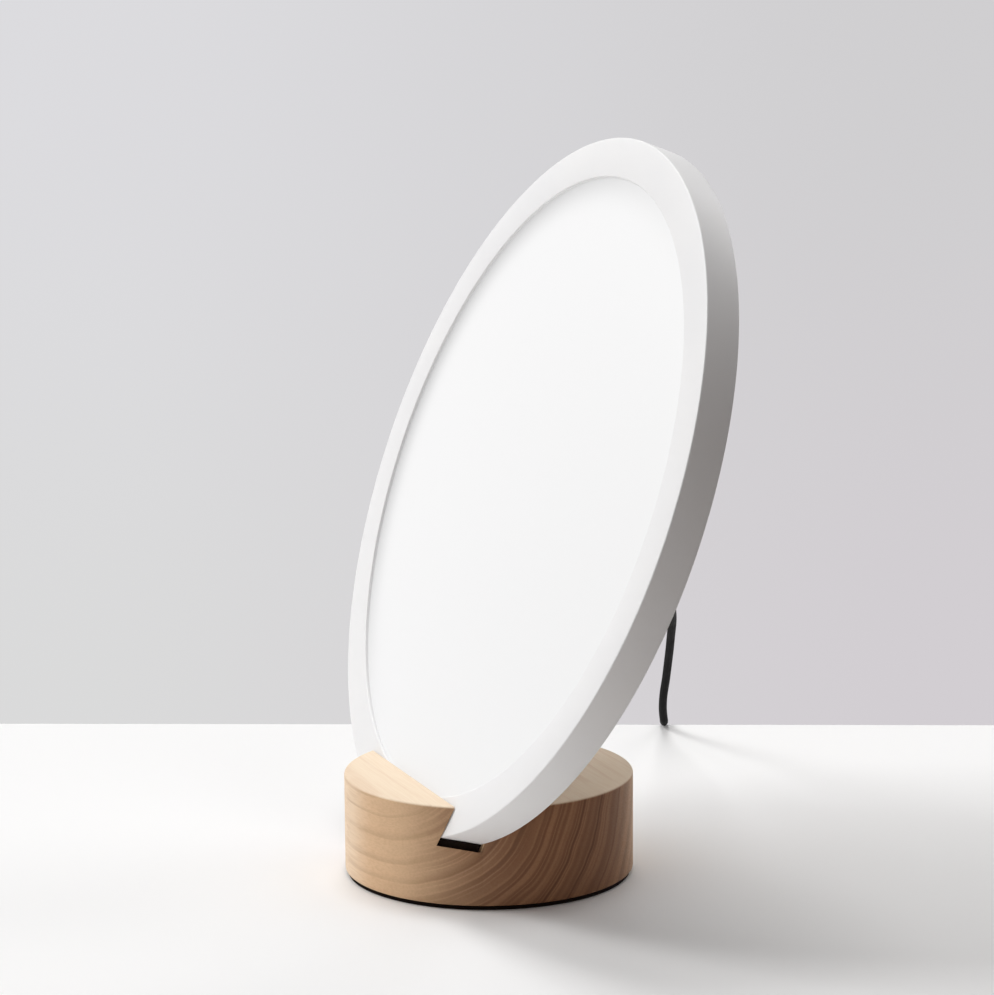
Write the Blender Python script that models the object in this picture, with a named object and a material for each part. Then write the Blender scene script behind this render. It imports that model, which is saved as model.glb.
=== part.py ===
"""Light therapy lamp: a round, edge-lit panel that stands in the slanted slot of a wooden base.

The origin is the centre of the anti-slip pad's underside, +Z is up and the light faces -Y.
All lengths are in metres. The panel is modelled in its own frame, on the empty called
panel_axis: there X runs across, Y runs up along the panel, and Z points out of its front,
with the front face at Z = 0 and everything behind it below zero.
"""

import math

import bmesh
import bpy
from mathutils import Matrix, Vector

# Driving sizes
PANEL_RADIUS = 0.150
PANEL_THICKNESS = 0.0147
PANEL_TILT = math.radians(20.7)
BASE_RADIUS = 0.0603
WOOD_HEIGHT = 0.0410
PAD_THICKNESS = 0.0015
SEAT_DEPTH = 0.0197
SLOT_FRONT = 0.0335
FIT = 0.0003
OVERRUN = 0.002
ROUND_STEPS = 96
INNER_STEPS = 72

# Front frame
BEZEL_WIDTH = 0.017
BEZEL_THICKNESS = 0.0014
BEZEL_LIP = 0.0003
RIM_WALL = 0.0018
RIM_ROUND = 0.0006
SCREW_COUNT = 8
BOSS_RADIUS = 0.004
BOSS_ROOT = 0.001
BOSS_BORE_RADIUS = 0.0015
BOSS_BORE_DEPTH = 0.0062
BOSS_STEPS = 12

# Optical stack, from the front
DIFFUSER_LAP = 0.004
DIFFUSER_THICKNESS = 0.002
DIFFUSER_EDGE = 0.0004
GUIDE_LAP = 0.0038
GUIDE_THICKNESS = 0.003
REFLECTOR_THICKNESS = 0.0004
STRIP_THICKNESS = 0.0003
STRIP_WIDTH = 0.005
STRIP_STEPS = 144
CHIP_MARGIN = 0.0011
CHIP_THICKNESS = 0.0007
CHIP_GAP = 0.0004
CHIP_EVERY = 3
INWARD_SHARE = 0.5
HEAT_RING_WALL = 0.0012
HEAT_RING_EDGE_GAP = 0.0006
FOAM_EDGE_GAP = 0.0042

# Rear cover and its screws
COVER_THICKNESS = 0.0015
COVER_RECESS = 0.0002
COVER_EDGE = 0.0003
SCREW_HEAD_RADIUS = 0.0023
SCREW_HEAD_LAND = 0.0002
SCREW_EDGE_MARGIN = 0.0011
SCREW_SHANK_RADIUS = 0.0012
SCREW_LENGTH = 0.0075
SCREW_TIP = 0.0006
SCREW_STEPS = 10

# Driver board, staked on four posts of the cover
BOARD_WIDTH = 0.060
BOARD_HEIGHT = 0.038
BOARD_THICKNESS = 0.0008
BOARD_UP = 0.003
BOARD_FRONT_GAP = 0.0016
POST_INSET = 0.0035
POST_RADIUS = 0.0022
PIN_RADIUS = 0.0011
PIN_CLEARANCE = 0.0004
STAKE_RADIUS = 0.0019
STAKE_THICKNESS = 0.0004
POST_STEPS = 8
WINDOW_MARGIN = 0.003
COIL_WIDTH = 0.009
COIL_HEIGHT = 0.0021
CHIP_WIDTH = 0.006
CHIP_HEIGHT = 0.0012
CAP_RADIUS = 0.0024
CAP_HEIGHT = 0.0019
SOCKET_WIDTH = 0.006
SOCKET_DEPTH = 0.004
SOCKET_HEIGHT = 0.0022
PART_ROOT = 0.0002
CAP_STEPS = 12

# Power button and the switch that it presses
BUTTON_UP = 0.012
BUTTON_RADIUS = 0.0057
BUTTON_CLEARANCE = 0.0003
BUTTON_PROUD = 0.0003
BUTTON_ROUND = 0.0004
BUTTON_DISH = 0.0003
BUTTON_FLANGE = 0.0012
BUTTON_FLANGE_THICKNESS = 0.0005
BUTTON_TRAVEL = 0.0004
BUTTON_STEPS = 24
SWITCH_WIDTH = 0.006
SWITCH_HEIGHT = 0.0011
PLUNGER_RADIUS = 0.0014
PLUNGER_CLEARANCE = 0.0004
PLUNGER_GAP = 0.0002
PLUNGER_LENGTH = 0.0011
PLUNGER_STEPS = 16

# Cord outlet and leads
OUTLET_DOWN = 0.028
RELIEF_LENGTH = 0.022
RELIEF_ROOT_RADIUS = 0.0046
RELIEF_TIP_RADIUS = 0.0029
RELIEF_NECK_RADIUS = 0.0031
RELIEF_COLLAR = 0.003
RELIEF_FLANGE_THICKNESS = 0.0008
RELIEF_GROOVES = 4
GROOVE_WIDTH = 0.0016
GROOVE_DEPTH = 0.0007
RELIEF_STEPS = 16
LEAD_RADIUS = 0.0005
LEAD_SPACING = 0.0018
LEAD_BEND = 0.004
CHANNEL_WIDTH = 0.0044

# Wooden base, slot liner and pad
WOOD_ROUND = 0.0010
WOOD_ROUND_STEPS = 3
SLOT_CLEARANCE = 0.0004
SLOT_FLOOR_GAP = 0.0035
LINER_WIDTH = 0.0137
LINER_RECESS = 0.0015
PAD_INSET = 0.0012
PAD_ROUND = 0.0004

# Cord
CORD_RADIUS = 0.002
CORD_POINT_SPACING = 0.010
FLOOR_GAP = 0.0002
CORD_ROUTE = [
    (0.0000, 0.0500, 0.1190),
    (-0.0022, 0.0630, 0.1141),
    (-0.0090, 0.0755, 0.1095),
    (-0.0200, 0.0865, 0.1050),
    (-0.0340, 0.0962, 0.1002),
    (-0.0495, 0.1050, 0.0949),
    (-0.0660, 0.1132, 0.0890),
    (-0.0818, 0.1208, 0.0824),
    (-0.0968, 0.1276, 0.0746),
    (-0.1098, 0.1329, 0.0661),
    (-0.1228, 0.1381, 0.0564),
    (-0.1359, 0.1431, 0.0461),
    (-0.1490, 0.1480, 0.0353),
    (-0.1622, 0.1527, 0.0244),
    (-0.1733, 0.1573, 0.0150),
    (-0.1822, 0.1617, 0.0077),
    (-0.1867, 0.1640, 0.0049),
    (-0.1921, 0.1664, 0.0029),
    (-0.1979, 0.1688, 0.0022),
    (-0.2100, 0.1740, 0.0022),
]

# Coil that puts the rest of the cord away
COIL_LEAD_START = (-0.2252, 0.1804)
COIL_HEADING = math.radians(158.6)
COIL_LEAD = 0.020
COIL_OUTER = 0.027
COIL_PITCH = 0.0051
COIL_LAYERS = 4
COIL_LAYER_TURNS = 1.6875
COIL_CLIMB_TURNS = 0.5
COIL_POINTS_PER_TURN = 24
COIL_TAIL = 0.026
COIL_TAIL_POINTS = 5
COIL_LEAD_POINTS = 4
LEAST_COIL_GAP = 0.0004

# Tie round the coil
TIE_THICKNESS = 0.0006
TIE_WIDTH = 0.008
TIE_SLACK = 0.0004
TIE_INNER_SLACK = 0.0013
TIE_ROUND = 0.003
TIE_ROUND_STEPS = 3
TIE_TURN_SHARE = 0.62

# Wall adapter on the cord's end
ADAPTER_LENGTH = 0.062
ADAPTER_HEIGHT = 0.036
ADAPTER_FRONT_DEPTH = 0.011
ADAPTER_BACK_DEPTH = 0.017
ADAPTER_CORNER = 0.005
ADAPTER_CORNER_STEPS = 4
ADAPTER_EDGE = 0.0015
ADAPTER_EDGE_STEPS = 2
BLADE_SPACING = 0.0127
BLADE_LENGTH = 0.0165
BLADE_WIDTH = 0.0063
BLADE_THICKNESS = 0.0015
BLADE_TIP = 0.001
BLADE_HOLE_RADIUS = 0.0015
BLADE_HOLE_FROM_TIP = 0.004
BLADE_HOLE_STEPS = 12
ADAPTER_RELIEF_LENGTH = 0.014
ADAPTER_RELIEF_ROOT = 0.0042
ADAPTER_RELIEF_TIP = 0.0029

# Places that follow from the sizes above
WOOD_BOTTOM = PAD_THICKNESS + FIT
BASE_TOP = WOOD_BOTTOM + WOOD_HEIGHT
PANEL_CENTRE_Z = BASE_TOP - SEAT_DEPTH + PANEL_RADIUS * math.cos(PANEL_TILT)
PANEL_CENTRE_Y = (PANEL_CENTRE_Z - BASE_TOP) * math.tan(PANEL_TILT) - SLOT_FRONT
PANEL_CENTRE = Vector((0, PANEL_CENTRE_Y, PANEL_CENTRE_Z))
PANEL_TURN = math.pi / 2 - PANEL_TILT
PANEL_TO_WORLD = Matrix.Translation(PANEL_CENTRE) @ Matrix.Rotation(PANEL_TURN, 4, "X")

BEZEL_INNER = PANEL_RADIUS - BEZEL_WIDTH
RIM_INNER = PANEL_RADIUS - RIM_WALL
DIFFUSER_FRONT = -BEZEL_THICKNESS - FIT
DIFFUSER_BACK = DIFFUSER_FRONT - DIFFUSER_THICKNESS
GUIDE_FRONT = DIFFUSER_BACK - FIT
GUIDE_BACK = GUIDE_FRONT - GUIDE_THICKNESS
GUIDE_RADIUS = BEZEL_INNER + GUIDE_LAP
REFLECTOR_FRONT = GUIDE_BACK - FIT
REFLECTOR_BACK = REFLECTOR_FRONT - REFLECTOR_THICKNESS
COVER_OUTSIDE = COVER_RECESS - PANEL_THICKNESS
COVER_INSIDE = COVER_OUTSIDE + COVER_THICKNESS
COVER_RADIUS = RIM_INNER - FIT
SCREW_CIRCLE = COVER_RADIUS - SCREW_HEAD_RADIUS - SCREW_EDGE_MARGIN
SCREW_HOLE_RADIUS = BOSS_BORE_RADIUS
STRIP_INNER = GUIDE_RADIUS + CHIP_GAP + CHIP_THICKNESS
STRIP_OUTER = STRIP_INNER + STRIP_THICKNESS
HEAT_RING_INNER = STRIP_OUTER + FIT
HEAT_RING_BACK = COVER_INSIDE + FIT
HEAT_FOOT_FRONT = HEAT_RING_BACK + HEAT_RING_WALL
BOSS_END = HEAT_FOOT_FRONT + FIT
FOAM_FRONT = REFLECTOR_BACK - FIT
FOAM_BACK = COVER_INSIDE + FIT
FOAM_RADIUS = STRIP_INNER - FOAM_EDGE_GAP
BOARD_FRONT = REFLECTOR_BACK - BOARD_FRONT_GAP
BOARD_BACK = BOARD_FRONT - BOARD_THICKNESS
BUTTON_FLANGE_BACK = COVER_INSIDE + FIT
BUTTON_FLANGE_FRONT = BUTTON_FLANGE_BACK + BUTTON_FLANGE_THICKNESS
BUTTON_END = -PANEL_THICKNESS - BUTTON_PROUD
SWITCH_FRONT = BOARD_BACK - FIT
SWITCH_BACK = SWITCH_FRONT - SWITCH_HEIGHT
PLUNGER_BACK = BUTTON_FLANGE_FRONT + PLUNGER_GAP
RELIEF_ROOT = COVER_OUTSIDE - FIT
RELIEF_TIP = RELIEF_ROOT - RELIEF_LENGTH
RELIEF_FLANGE_BACK = COVER_INSIDE + FIT
RELIEF_FLANGE_FRONT = RELIEF_FLANGE_BACK + RELIEF_FLANGE_THICKNESS
SLOT_FLOOR_RADIUS = PANEL_RADIUS + SLOT_FLOOR_GAP
CORD_FLOOR = CORD_RADIUS + FLOOR_GAP


def clear_scene():
    for obj in list(bpy.data.objects):
        bpy.data.objects.remove(obj, do_unlink=True)


def finish(name, colour, roughness, metallic=0.0):
    """A plain Principled material."""
    made = bpy.data.materials.new(name)
    made.use_nodes = True
    shader = made.node_tree.nodes["Principled BSDF"]
    shader.inputs["Base Color"].default_value = (*colour, 1.0)
    shader.inputs["Roughness"].default_value = roughness
    shader.inputs["Metallic"].default_value = metallic
    return made


def mesh_of(bm, name):
    """The finished mesh of a bmesh, faces outward, smooth except at real edges."""
    bmesh.ops.recalc_face_normals(bm, faces=bm.faces)
    mesh = bpy.data.meshes.new(name)
    bm.to_mesh(mesh)
    bm.free()
    mesh.shade_smooth()
    mesh.set_sharp_from_angle(angle=math.radians(30))
    return mesh


def place(name, mesh, material, parent=None, location=(0, 0, 0)):
    """An object in the scene with its own material, on a parent where it has one."""
    obj = bpy.data.objects.new(name, mesh)
    bpy.context.scene.collection.objects.link(obj)
    obj.parent = parent
    obj.location = location
    if material:
        obj.data.materials.clear()
        obj.data.materials.append(material)
    return obj


def add_cylinder(bm, radius, low, high, steps, centre=(0, 0), top_radius=None):
    """A closed upright cylinder, or a cone where its top has another radius."""
    middle = Vector((centre[0], centre[1], (low + high) / 2))
    bmesh.ops.create_cone(
        bm,
        cap_ends=True,
        segments=steps,
        radius1=radius,
        radius2=radius if top_radius is None else top_radius,
        depth=high - low,
        matrix=Matrix.Translation(middle),
    )


def add_box(bm, low, high):
    """A closed box between two corners."""
    low, high = Vector(low), Vector(high)
    size = high - low
    matrix = Matrix.Translation((low + high) / 2) @ Matrix.Diagonal((*size, 1))
    return bmesh.ops.create_cube(bm, size=1, matrix=matrix)["verts"]


def add_turned(bm, profile, steps, centre=(0, 0)):
    """A profile of (radius, height) points turned once round the upright axis at centre.

    A profile that starts and ends on the axis makes a solid; any other is closed into a ring.
    """
    shift = Vector((centre[0], centre[1], 0))
    verts = [bm.verts.new(shift + Vector((radius, 0, z))) for radius, z in profile]
    pairs = list(zip(verts, verts[1:]))
    if profile[0][0] > 0:
        pairs.append((verts[-1], verts[0]))
    edges = [bm.edges.new(pair) for pair in pairs]
    bmesh.ops.spin(
        bm,
        geom=verts + edges,
        cent=shift,
        axis=(0, 0, 1),
        angle=math.tau,
        steps=steps,
        use_merge=True,
    )
    bmesh.ops.remove_doubles(bm, verts=bm.verts, dist=FIT / 100)


def turned(name, profile, steps, material, parent=None, centre=(0, 0)):
    bm = bmesh.new()
    add_turned(bm, profile, steps, centre)
    return place(name, mesh_of(bm, name), material, parent)


def disc(name, radius, low, high, steps, material, parent=None, edge=None):
    """A flat round plate, its rim edges broken by a small bevel where edge is given."""
    bm = bmesh.new()
    add_cylinder(bm, radius, low, high, steps)
    obj = place(name, mesh_of(bm, name), material, parent)
    if edge:
        bevel(obj, edge, 1)
    return obj


def bevel(obj, width, segments):
    made = obj.modifiers.new("edges", "BEVEL")
    made.width = width
    made.segments = segments
    made.limit_method = "ANGLE"
    made.angle_limit = math.radians(40)
    return made


def helper(name, bm, parent=None):
    """A cutter or an addition: it shapes another piece and isn't part of the lamp itself."""
    obj = place(name, mesh_of(bm, name), None, parent)
    obj.hide_render = True
    obj.display_type = "WIRE"
    return obj


def combine(obj, other, operation):
    made = obj.modifiers.new(other.name, "BOOLEAN")
    made.operation = operation
    made.object = other
    made.solver = "EXACT"


def quarter(centre_r, centre_z, radius, start, steps=2):
    """Points of a quarter round in a profile, from the start angle in degrees, clockwise."""
    angles = [math.radians(start - 90 * i / steps) for i in range(steps + 1)]
    return [
        (centre_r + radius * math.cos(a), centre_z + radius * math.sin(a)) for a in angles
    ]


def circle_places(radius, count):
    """Points spaced evenly on a circle, none of them on the X or Y axis."""
    step = math.tau / count
    return [
        (radius * math.cos(step * (i + 0.5)), radius * math.sin(step * (i + 0.5)))
        for i in range(count)
    ]


def smooth_path(points, spacing):
    """Points at an even spacing on one smooth curve through the given points."""
    points = [Vector(p) for p in points]
    knots = [0.0]
    for a, b in zip(points, points[1:]):
        knots.append(knots[-1] + (b - a).length)
    slopes = []
    for i in range(len(points)):
        low, high = max(i - 1, 0), min(i + 1, len(points) - 1)
        slopes.append((points[high] - points[low]) / (knots[high] - knots[low]))
    fine = []
    for i in range(len(points) - 1):
        span = knots[i + 1] - knots[i]
        steps = max(4, round(12 * span / spacing))
        for k in range(steps):
            t = k / steps
            fine.append(
                points[i] * (2 * t**3 - 3 * t**2 + 1)
                + slopes[i] * span * (t**3 - 2 * t**2 + t)
                + points[i + 1] * (3 * t**2 - 2 * t**3)
                + slopes[i + 1] * span * (t**3 - t**2)
            )
    fine.append(points[-1])
    lengths = [0.0]
    for a, b in zip(fine, fine[1:]):
        lengths.append(lengths[-1] + (b - a).length)
    count = max(2, round(lengths[-1] / spacing))
    even, j = [], 0
    for k in range(count + 1):
        want = lengths[-1] * k / count
        while j < len(fine) - 2 and lengths[j + 1] < want:
            j += 1
        t = (want - lengths[j]) / (lengths[j + 1] - lengths[j])
        even.append(fine[j].lerp(fine[j + 1], t))
    return even


def tube(name, points, radius, resolution, material, parent=None):
    """A round cord or wire along the points, with filled ends."""
    curve = bpy.data.curves.new(name, "CURVE")
    curve.dimensions = "3D"
    curve.bevel_depth = radius
    curve.bevel_resolution = resolution
    curve.use_fill_caps = True
    curve.resolution_u = 1
    spline = curve.splines.new("POLY")
    spline.points.add(len(points) - 1)
    for point, place_at in zip(spline.points, points):
        point.co = (*place_at, 1)
    return place(name, curve, material, parent)


def path_length(points):
    return sum((b - a).length for a, b in zip(points, points[1:]))


def make_front_frame(axis, material):
    """White moulded ring: flat bezel in front, plain rim round the edge, screw bosses inside."""
    profile = [(BEZEL_INNER, -BEZEL_THICKNESS)]
    profile += quarter(BEZEL_INNER + BEZEL_LIP, -BEZEL_LIP, BEZEL_LIP, 180, 1)
    profile += quarter(PANEL_RADIUS - RIM_ROUND, -RIM_ROUND, RIM_ROUND, 90)
    profile += quarter(PANEL_RADIUS - RIM_ROUND, RIM_ROUND - PANEL_THICKNESS, RIM_ROUND, 0)
    profile += [(RIM_INNER, -PANEL_THICKNESS), (RIM_INNER, -BEZEL_THICKNESS)]
    frame = turned("front_frame", profile, ROUND_STEPS, material, axis)
    places = circle_places(SCREW_CIRCLE, SCREW_COUNT)
    bosses, bores = bmesh.new(), bmesh.new()
    for centre in places:
        add_cylinder(bosses, BOSS_RADIUS, BOSS_END, BOSS_ROOT - BEZEL_THICKNESS, BOSS_STEPS, centre)
        deep = BOSS_END + BOSS_BORE_DEPTH
        add_cylinder(bores, BOSS_BORE_RADIUS, BOSS_END - OVERRUN, deep, BOSS_STEPS, centre)
    combine(frame, helper("frame_bosses", bosses, axis), "UNION")
    combine(frame, helper("frame_bores", bores, axis), "DIFFERENCE")


def make_optical_stack(axis, finishes):
    """Opal diffuser, clear light guide and white reflector film, laid in from behind."""
    disc(
        "diffuser",
        BEZEL_INNER + DIFFUSER_LAP,
        DIFFUSER_BACK,
        DIFFUSER_FRONT,
        INNER_STEPS,
        finishes["opal"],
        axis,
        DIFFUSER_EDGE,
    )
    guide = finishes["clear"]
    disc("light_guide", GUIDE_RADIUS, GUIDE_BACK, GUIDE_FRONT, INNER_STEPS, guide, axis)
    film = finishes["film"]
    disc("reflector_sheet", GUIDE_RADIUS, REFLECTOR_BACK, REFLECTOR_FRONT, INNER_STEPS, film, axis)


def make_led_strip(axis, material):
    """Flexible strip round the light guide's edge, with light chips along its inner face."""
    front, back = GUIDE_FRONT, GUIDE_FRONT - STRIP_WIDTH
    profile = [
        (STRIP_INNER, front),
        (STRIP_OUTER, front),
        (STRIP_OUTER, back),
        (STRIP_INNER, back),
    ]
    bm = bmesh.new()
    add_turned(bm, profile, STRIP_STEPS)
    bmesh.ops.recalc_face_normals(bm, faces=bm.faces)
    chips = []
    for face in bm.faces:
        centre = face.calc_center_median()
        if centre.xy.normalized().dot(face.normal.xy) < -INWARD_SHARE:
            turn = math.atan2(centre.y, centre.x) / math.tau * STRIP_STEPS
            if math.floor(turn) % CHIP_EVERY == 0:
                chips.append(face)
    bmesh.ops.inset_individual(bm, faces=chips, thickness=CHIP_MARGIN)
    for face in bmesh.ops.extrude_discrete_faces(bm, faces=chips)["faces"]:
        bmesh.ops.translate(bm, verts=face.verts, vec=face.normal * CHIP_THICKNESS)
    place("led_strip", mesh_of(bm, "led_strip"), material, axis)


def make_heat_ring(axis, material):
    """Aluminium angle ring: the strip is glued to its wall, and the screws clamp its foot."""
    outer = RIM_INNER - HEAT_RING_EDGE_GAP
    wall = HEAT_RING_INNER + HEAT_RING_WALL
    profile = [
        (HEAT_RING_INNER, GUIDE_FRONT),
        (wall, GUIDE_FRONT),
        (wall, HEAT_FOOT_FRONT),
        (outer, HEAT_FOOT_FRONT),
        (outer, HEAT_RING_BACK),
        (HEAT_RING_INNER, HEAT_RING_BACK),
    ]
    ring = turned("heat_ring", profile, ROUND_STEPS, material, axis)
    holes = bmesh.new()
    low, high = HEAT_RING_BACK - OVERRUN, HEAT_FOOT_FRONT + OVERRUN
    for centre in circle_places(SCREW_CIRCLE, SCREW_COUNT):
        add_cylinder(holes, SCREW_HOLE_RADIUS, low, high, BOSS_STEPS, centre)
    combine(ring, helper("heat_ring_holes", holes, axis), "DIFFERENCE")


def make_foam(axis, material):
    """Soft foam disc that presses the stack forward, cut out for the board and its leads."""
    foam = disc("foam_backing", FOAM_RADIUS, FOAM_BACK, FOAM_FRONT, INNER_STEPS, material, axis)
    low, high = FOAM_BACK - OVERRUN, FOAM_FRONT + OVERRUN
    half = BOARD_WIDTH / 2 + WINDOW_MARGIN
    bottom = -OUTLET_DOWN - RELIEF_ROOT_RADIUS - WINDOW_MARGIN
    top = BOARD_UP + BOARD_HEIGHT / 2 + WINDOW_MARGIN
    window = bmesh.new()
    add_box(window, (-half, bottom, low), (half, top, high))
    combine(foam, helper("foam_window", window, axis), "DIFFERENCE")
    channel = bmesh.new()
    side = CHANNEL_WIDTH / 2
    end = FOAM_RADIUS + OVERRUN
    add_box(channel, (half - OVERRUN, BOARD_UP - side, low), (end, BOARD_UP + side, high))
    combine(foam, helper("foam_channel", channel, axis), "DIFFERENCE")


def board_posts():
    """Centres of the four posts that carry the board, near its corners."""
    across = BOARD_WIDTH / 2 - POST_INSET
    up = BOARD_HEIGHT / 2 - POST_INSET
    return [(x * across, BOARD_UP + y * up) for x in (-1, 1) for y in (-1, 1)]


def make_rear_cover(axis, material):
    """Flat moulded cover, set into the rim, with countersinks, outlet, button hole and posts."""
    cover = disc(
        "rear_cover",
        COVER_RADIUS,
        COVER_OUTSIDE,
        COVER_INSIDE,
        ROUND_STEPS,
        material,
        axis,
        COVER_EDGE,
    )
    posts = bmesh.new()
    shoulder = BOARD_BACK - FIT
    stake = BOARD_FRONT + FIT
    for centre in board_posts():
        profile = [
            (0, (COVER_INSIDE + COVER_OUTSIDE) / 2),
            (POST_RADIUS, (COVER_INSIDE + COVER_OUTSIDE) / 2),
            (POST_RADIUS, shoulder),
            (PIN_RADIUS, shoulder),
            (PIN_RADIUS, stake),
            (STAKE_RADIUS, stake),
            (STAKE_RADIUS, stake + STAKE_THICKNESS),
            (0, stake + STAKE_THICKNESS),
        ]
        add_turned(posts, profile, POST_STEPS, centre)
    combine(cover, helper("cover_posts", posts, axis), "UNION")
    holes = bmesh.new()
    low, high = COVER_OUTSIDE - OVERRUN, COVER_INSIDE + OVERRUN
    head = SCREW_HEAD_RADIUS + FIT
    sink = COVER_OUTSIDE + SCREW_HEAD_LAND
    for centre in circle_places(SCREW_CIRCLE, SCREW_COUNT):
        profile = [
            (0, low),
            (head, low),
            (head, sink),
            (SCREW_HOLE_RADIUS, sink + head - SCREW_HOLE_RADIUS),
            (SCREW_HOLE_RADIUS, high),
            (0, high),
        ]
        add_turned(holes, profile, BOSS_STEPS, centre)
    outlet = RELIEF_NECK_RADIUS + FIT
    add_cylinder(holes, outlet, low, high, RELIEF_STEPS, (0, -OUTLET_DOWN))
    button = BUTTON_RADIUS + BUTTON_CLEARANCE
    add_cylinder(holes, button, low, high, BUTTON_STEPS, (0, BUTTON_UP))
    combine(cover, helper("cover_holes", holes, axis), "DIFFERENCE")


def make_cover_screws(axis, material):
    """Countersunk screws that clamp cover, heat ring and frame together."""
    cone = SCREW_HEAD_LAND + SCREW_HEAD_RADIUS - SCREW_SHANK_RADIUS
    profile = [
        (0, 0),
        (SCREW_HEAD_RADIUS, 0),
        (SCREW_HEAD_RADIUS, SCREW_HEAD_LAND),
        (SCREW_SHANK_RADIUS, cone),
        (SCREW_SHANK_RADIUS, SCREW_LENGTH - SCREW_TIP),
        (0, SCREW_LENGTH),
    ]
    bm = bmesh.new()
    add_turned(bm, profile, SCREW_STEPS)
    mesh = mesh_of(bm, "cover_screw")
    for number, (x, y) in enumerate(circle_places(SCREW_CIRCLE, SCREW_COUNT), 1):
        place(f"cover_screw_{number}", mesh, material, axis, (x, y, COVER_OUTSIDE))


def make_board(axis, material):
    """Driver board with its choke, capacitors, chip and two sockets on the rear face."""
    bm = bmesh.new()
    half = BOARD_WIDTH / 2
    low_y, high_y = BOARD_UP - BOARD_HEIGHT / 2, BOARD_UP + BOARD_HEIGHT / 2
    add_box(bm, (-half, low_y, BOARD_BACK), (half, high_y, BOARD_FRONT))
    board = place("driver_board", mesh_of(bm, "driver_board"), material, axis)
    parts = bmesh.new()
    top = BOARD_BACK + PART_ROOT

    def block(centre, width, height, rise):
        low = (centre[0] - width / 2, centre[1] - height / 2, BOARD_BACK - rise)
        add_box(parts, low, (centre[0] + width / 2, centre[1] + height / 2, top))

    block((-half + 2 * COIL_WIDTH, BOARD_UP), COIL_WIDTH, COIL_WIDTH, COIL_HEIGHT)
    block((half / 2, BOARD_UP - CHIP_WIDTH), CHIP_WIDTH, CHIP_WIDTH, CHIP_HEIGHT)
    block((0, low_y + SOCKET_DEPTH / 2 + FIT), SOCKET_WIDTH, SOCKET_DEPTH, SOCKET_HEIGHT)
    block((half - SOCKET_DEPTH / 2 - FIT, BOARD_UP), SOCKET_DEPTH, SOCKET_WIDTH, SOCKET_HEIGHT)
    for step in (-1, 1):
        centre = (-half + COIL_WIDTH * 2 / 3, BOARD_UP + step * CAP_RADIUS * 3 / 2)
        add_cylinder(parts, CAP_RADIUS, BOARD_BACK - CAP_HEIGHT, top, CAP_STEPS, centre)
    combine(board, helper("board_parts", parts, axis), "UNION")
    holes = bmesh.new()
    for centre in board_posts():
        low, high = BOARD_BACK - OVERRUN, BOARD_FRONT + OVERRUN
        add_cylinder(holes, PIN_RADIUS + PIN_CLEARANCE, low, high, CAP_STEPS, centre)
    combine(board, helper("board_holes", holes, axis), "DIFFERENCE")


def make_switch(axis, finishes):
    """Low push switch on the board; its plunger moves with the button."""
    bm = bmesh.new()
    half = SWITCH_WIDTH / 2
    add_box(bm, (-half, BUTTON_UP - half, SWITCH_BACK), (half, BUTTON_UP + half, SWITCH_FRONT))
    body = place("switch_body", mesh_of(bm, "switch_body"), finishes["black"], axis)
    hole = bmesh.new()
    radius = PLUNGER_RADIUS + PLUNGER_CLEARANCE
    low, high = SWITCH_BACK - OVERRUN, SWITCH_FRONT + OVERRUN
    add_cylinder(hole, radius, low, high, PLUNGER_STEPS, (0, BUTTON_UP))
    combine(body, helper("switch_hole", hole, axis), "DIFFERENCE")


def make_button(button_axis, finishes):
    """White button with a dished top, kept in by a flange, and the plunger in front of it."""
    flange = BUTTON_RADIUS + BUTTON_FLANGE
    profile = [
        (0, BUTTON_FLANGE_FRONT),
        (flange, BUTTON_FLANGE_FRONT),
        (flange, BUTTON_FLANGE_BACK),
        (BUTTON_RADIUS, BUTTON_FLANGE_BACK),
    ]
    profile += quarter(BUTTON_RADIUS - BUTTON_ROUND, BUTTON_END + BUTTON_ROUND, BUTTON_ROUND, 0)
    profile += [(BUTTON_RADIUS / 2, BUTTON_END + BUTTON_DISH * 2 / 3), (0, BUTTON_END + BUTTON_DISH)]
    turned("power_button", profile, BUTTON_STEPS, finishes["button"], button_axis)
    bm = bmesh.new()
    end = PLUNGER_BACK + PLUNGER_LENGTH
    add_cylinder(bm, PLUNGER_RADIUS, PLUNGER_BACK, end, PLUNGER_STEPS)
    place("switch_plunger", mesh_of(bm, "switch_plunger"), finishes["plunger"], button_axis)


def grooved_cone(root, tip, root_radius, tip_radius, collar, grooves, depth, width):
    """Profile of a strain relief from its root to its tip, with grooves sunk into the cone."""
    sign = 1 if tip > root else -1
    length = abs(tip - root)

    def radius_at(along):
        return root_radius + (tip_radius - root_radius) * max(0, along - collar) / (length - collar)

    points = [(root_radius, root), (root_radius, root + sign * collar)]
    pitch = (length - collar) / (grooves + 1)
    for i in range(grooves):
        middle = collar + pitch * (i + 1)
        for along, cut in ((-1, 0), (-1, depth), (1, depth), (1, 0)):
            at = middle + along * width / 2
            points.append((radius_at(at) - cut, root + sign * at))
    points.append((tip_radius, tip))
    return points


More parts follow.
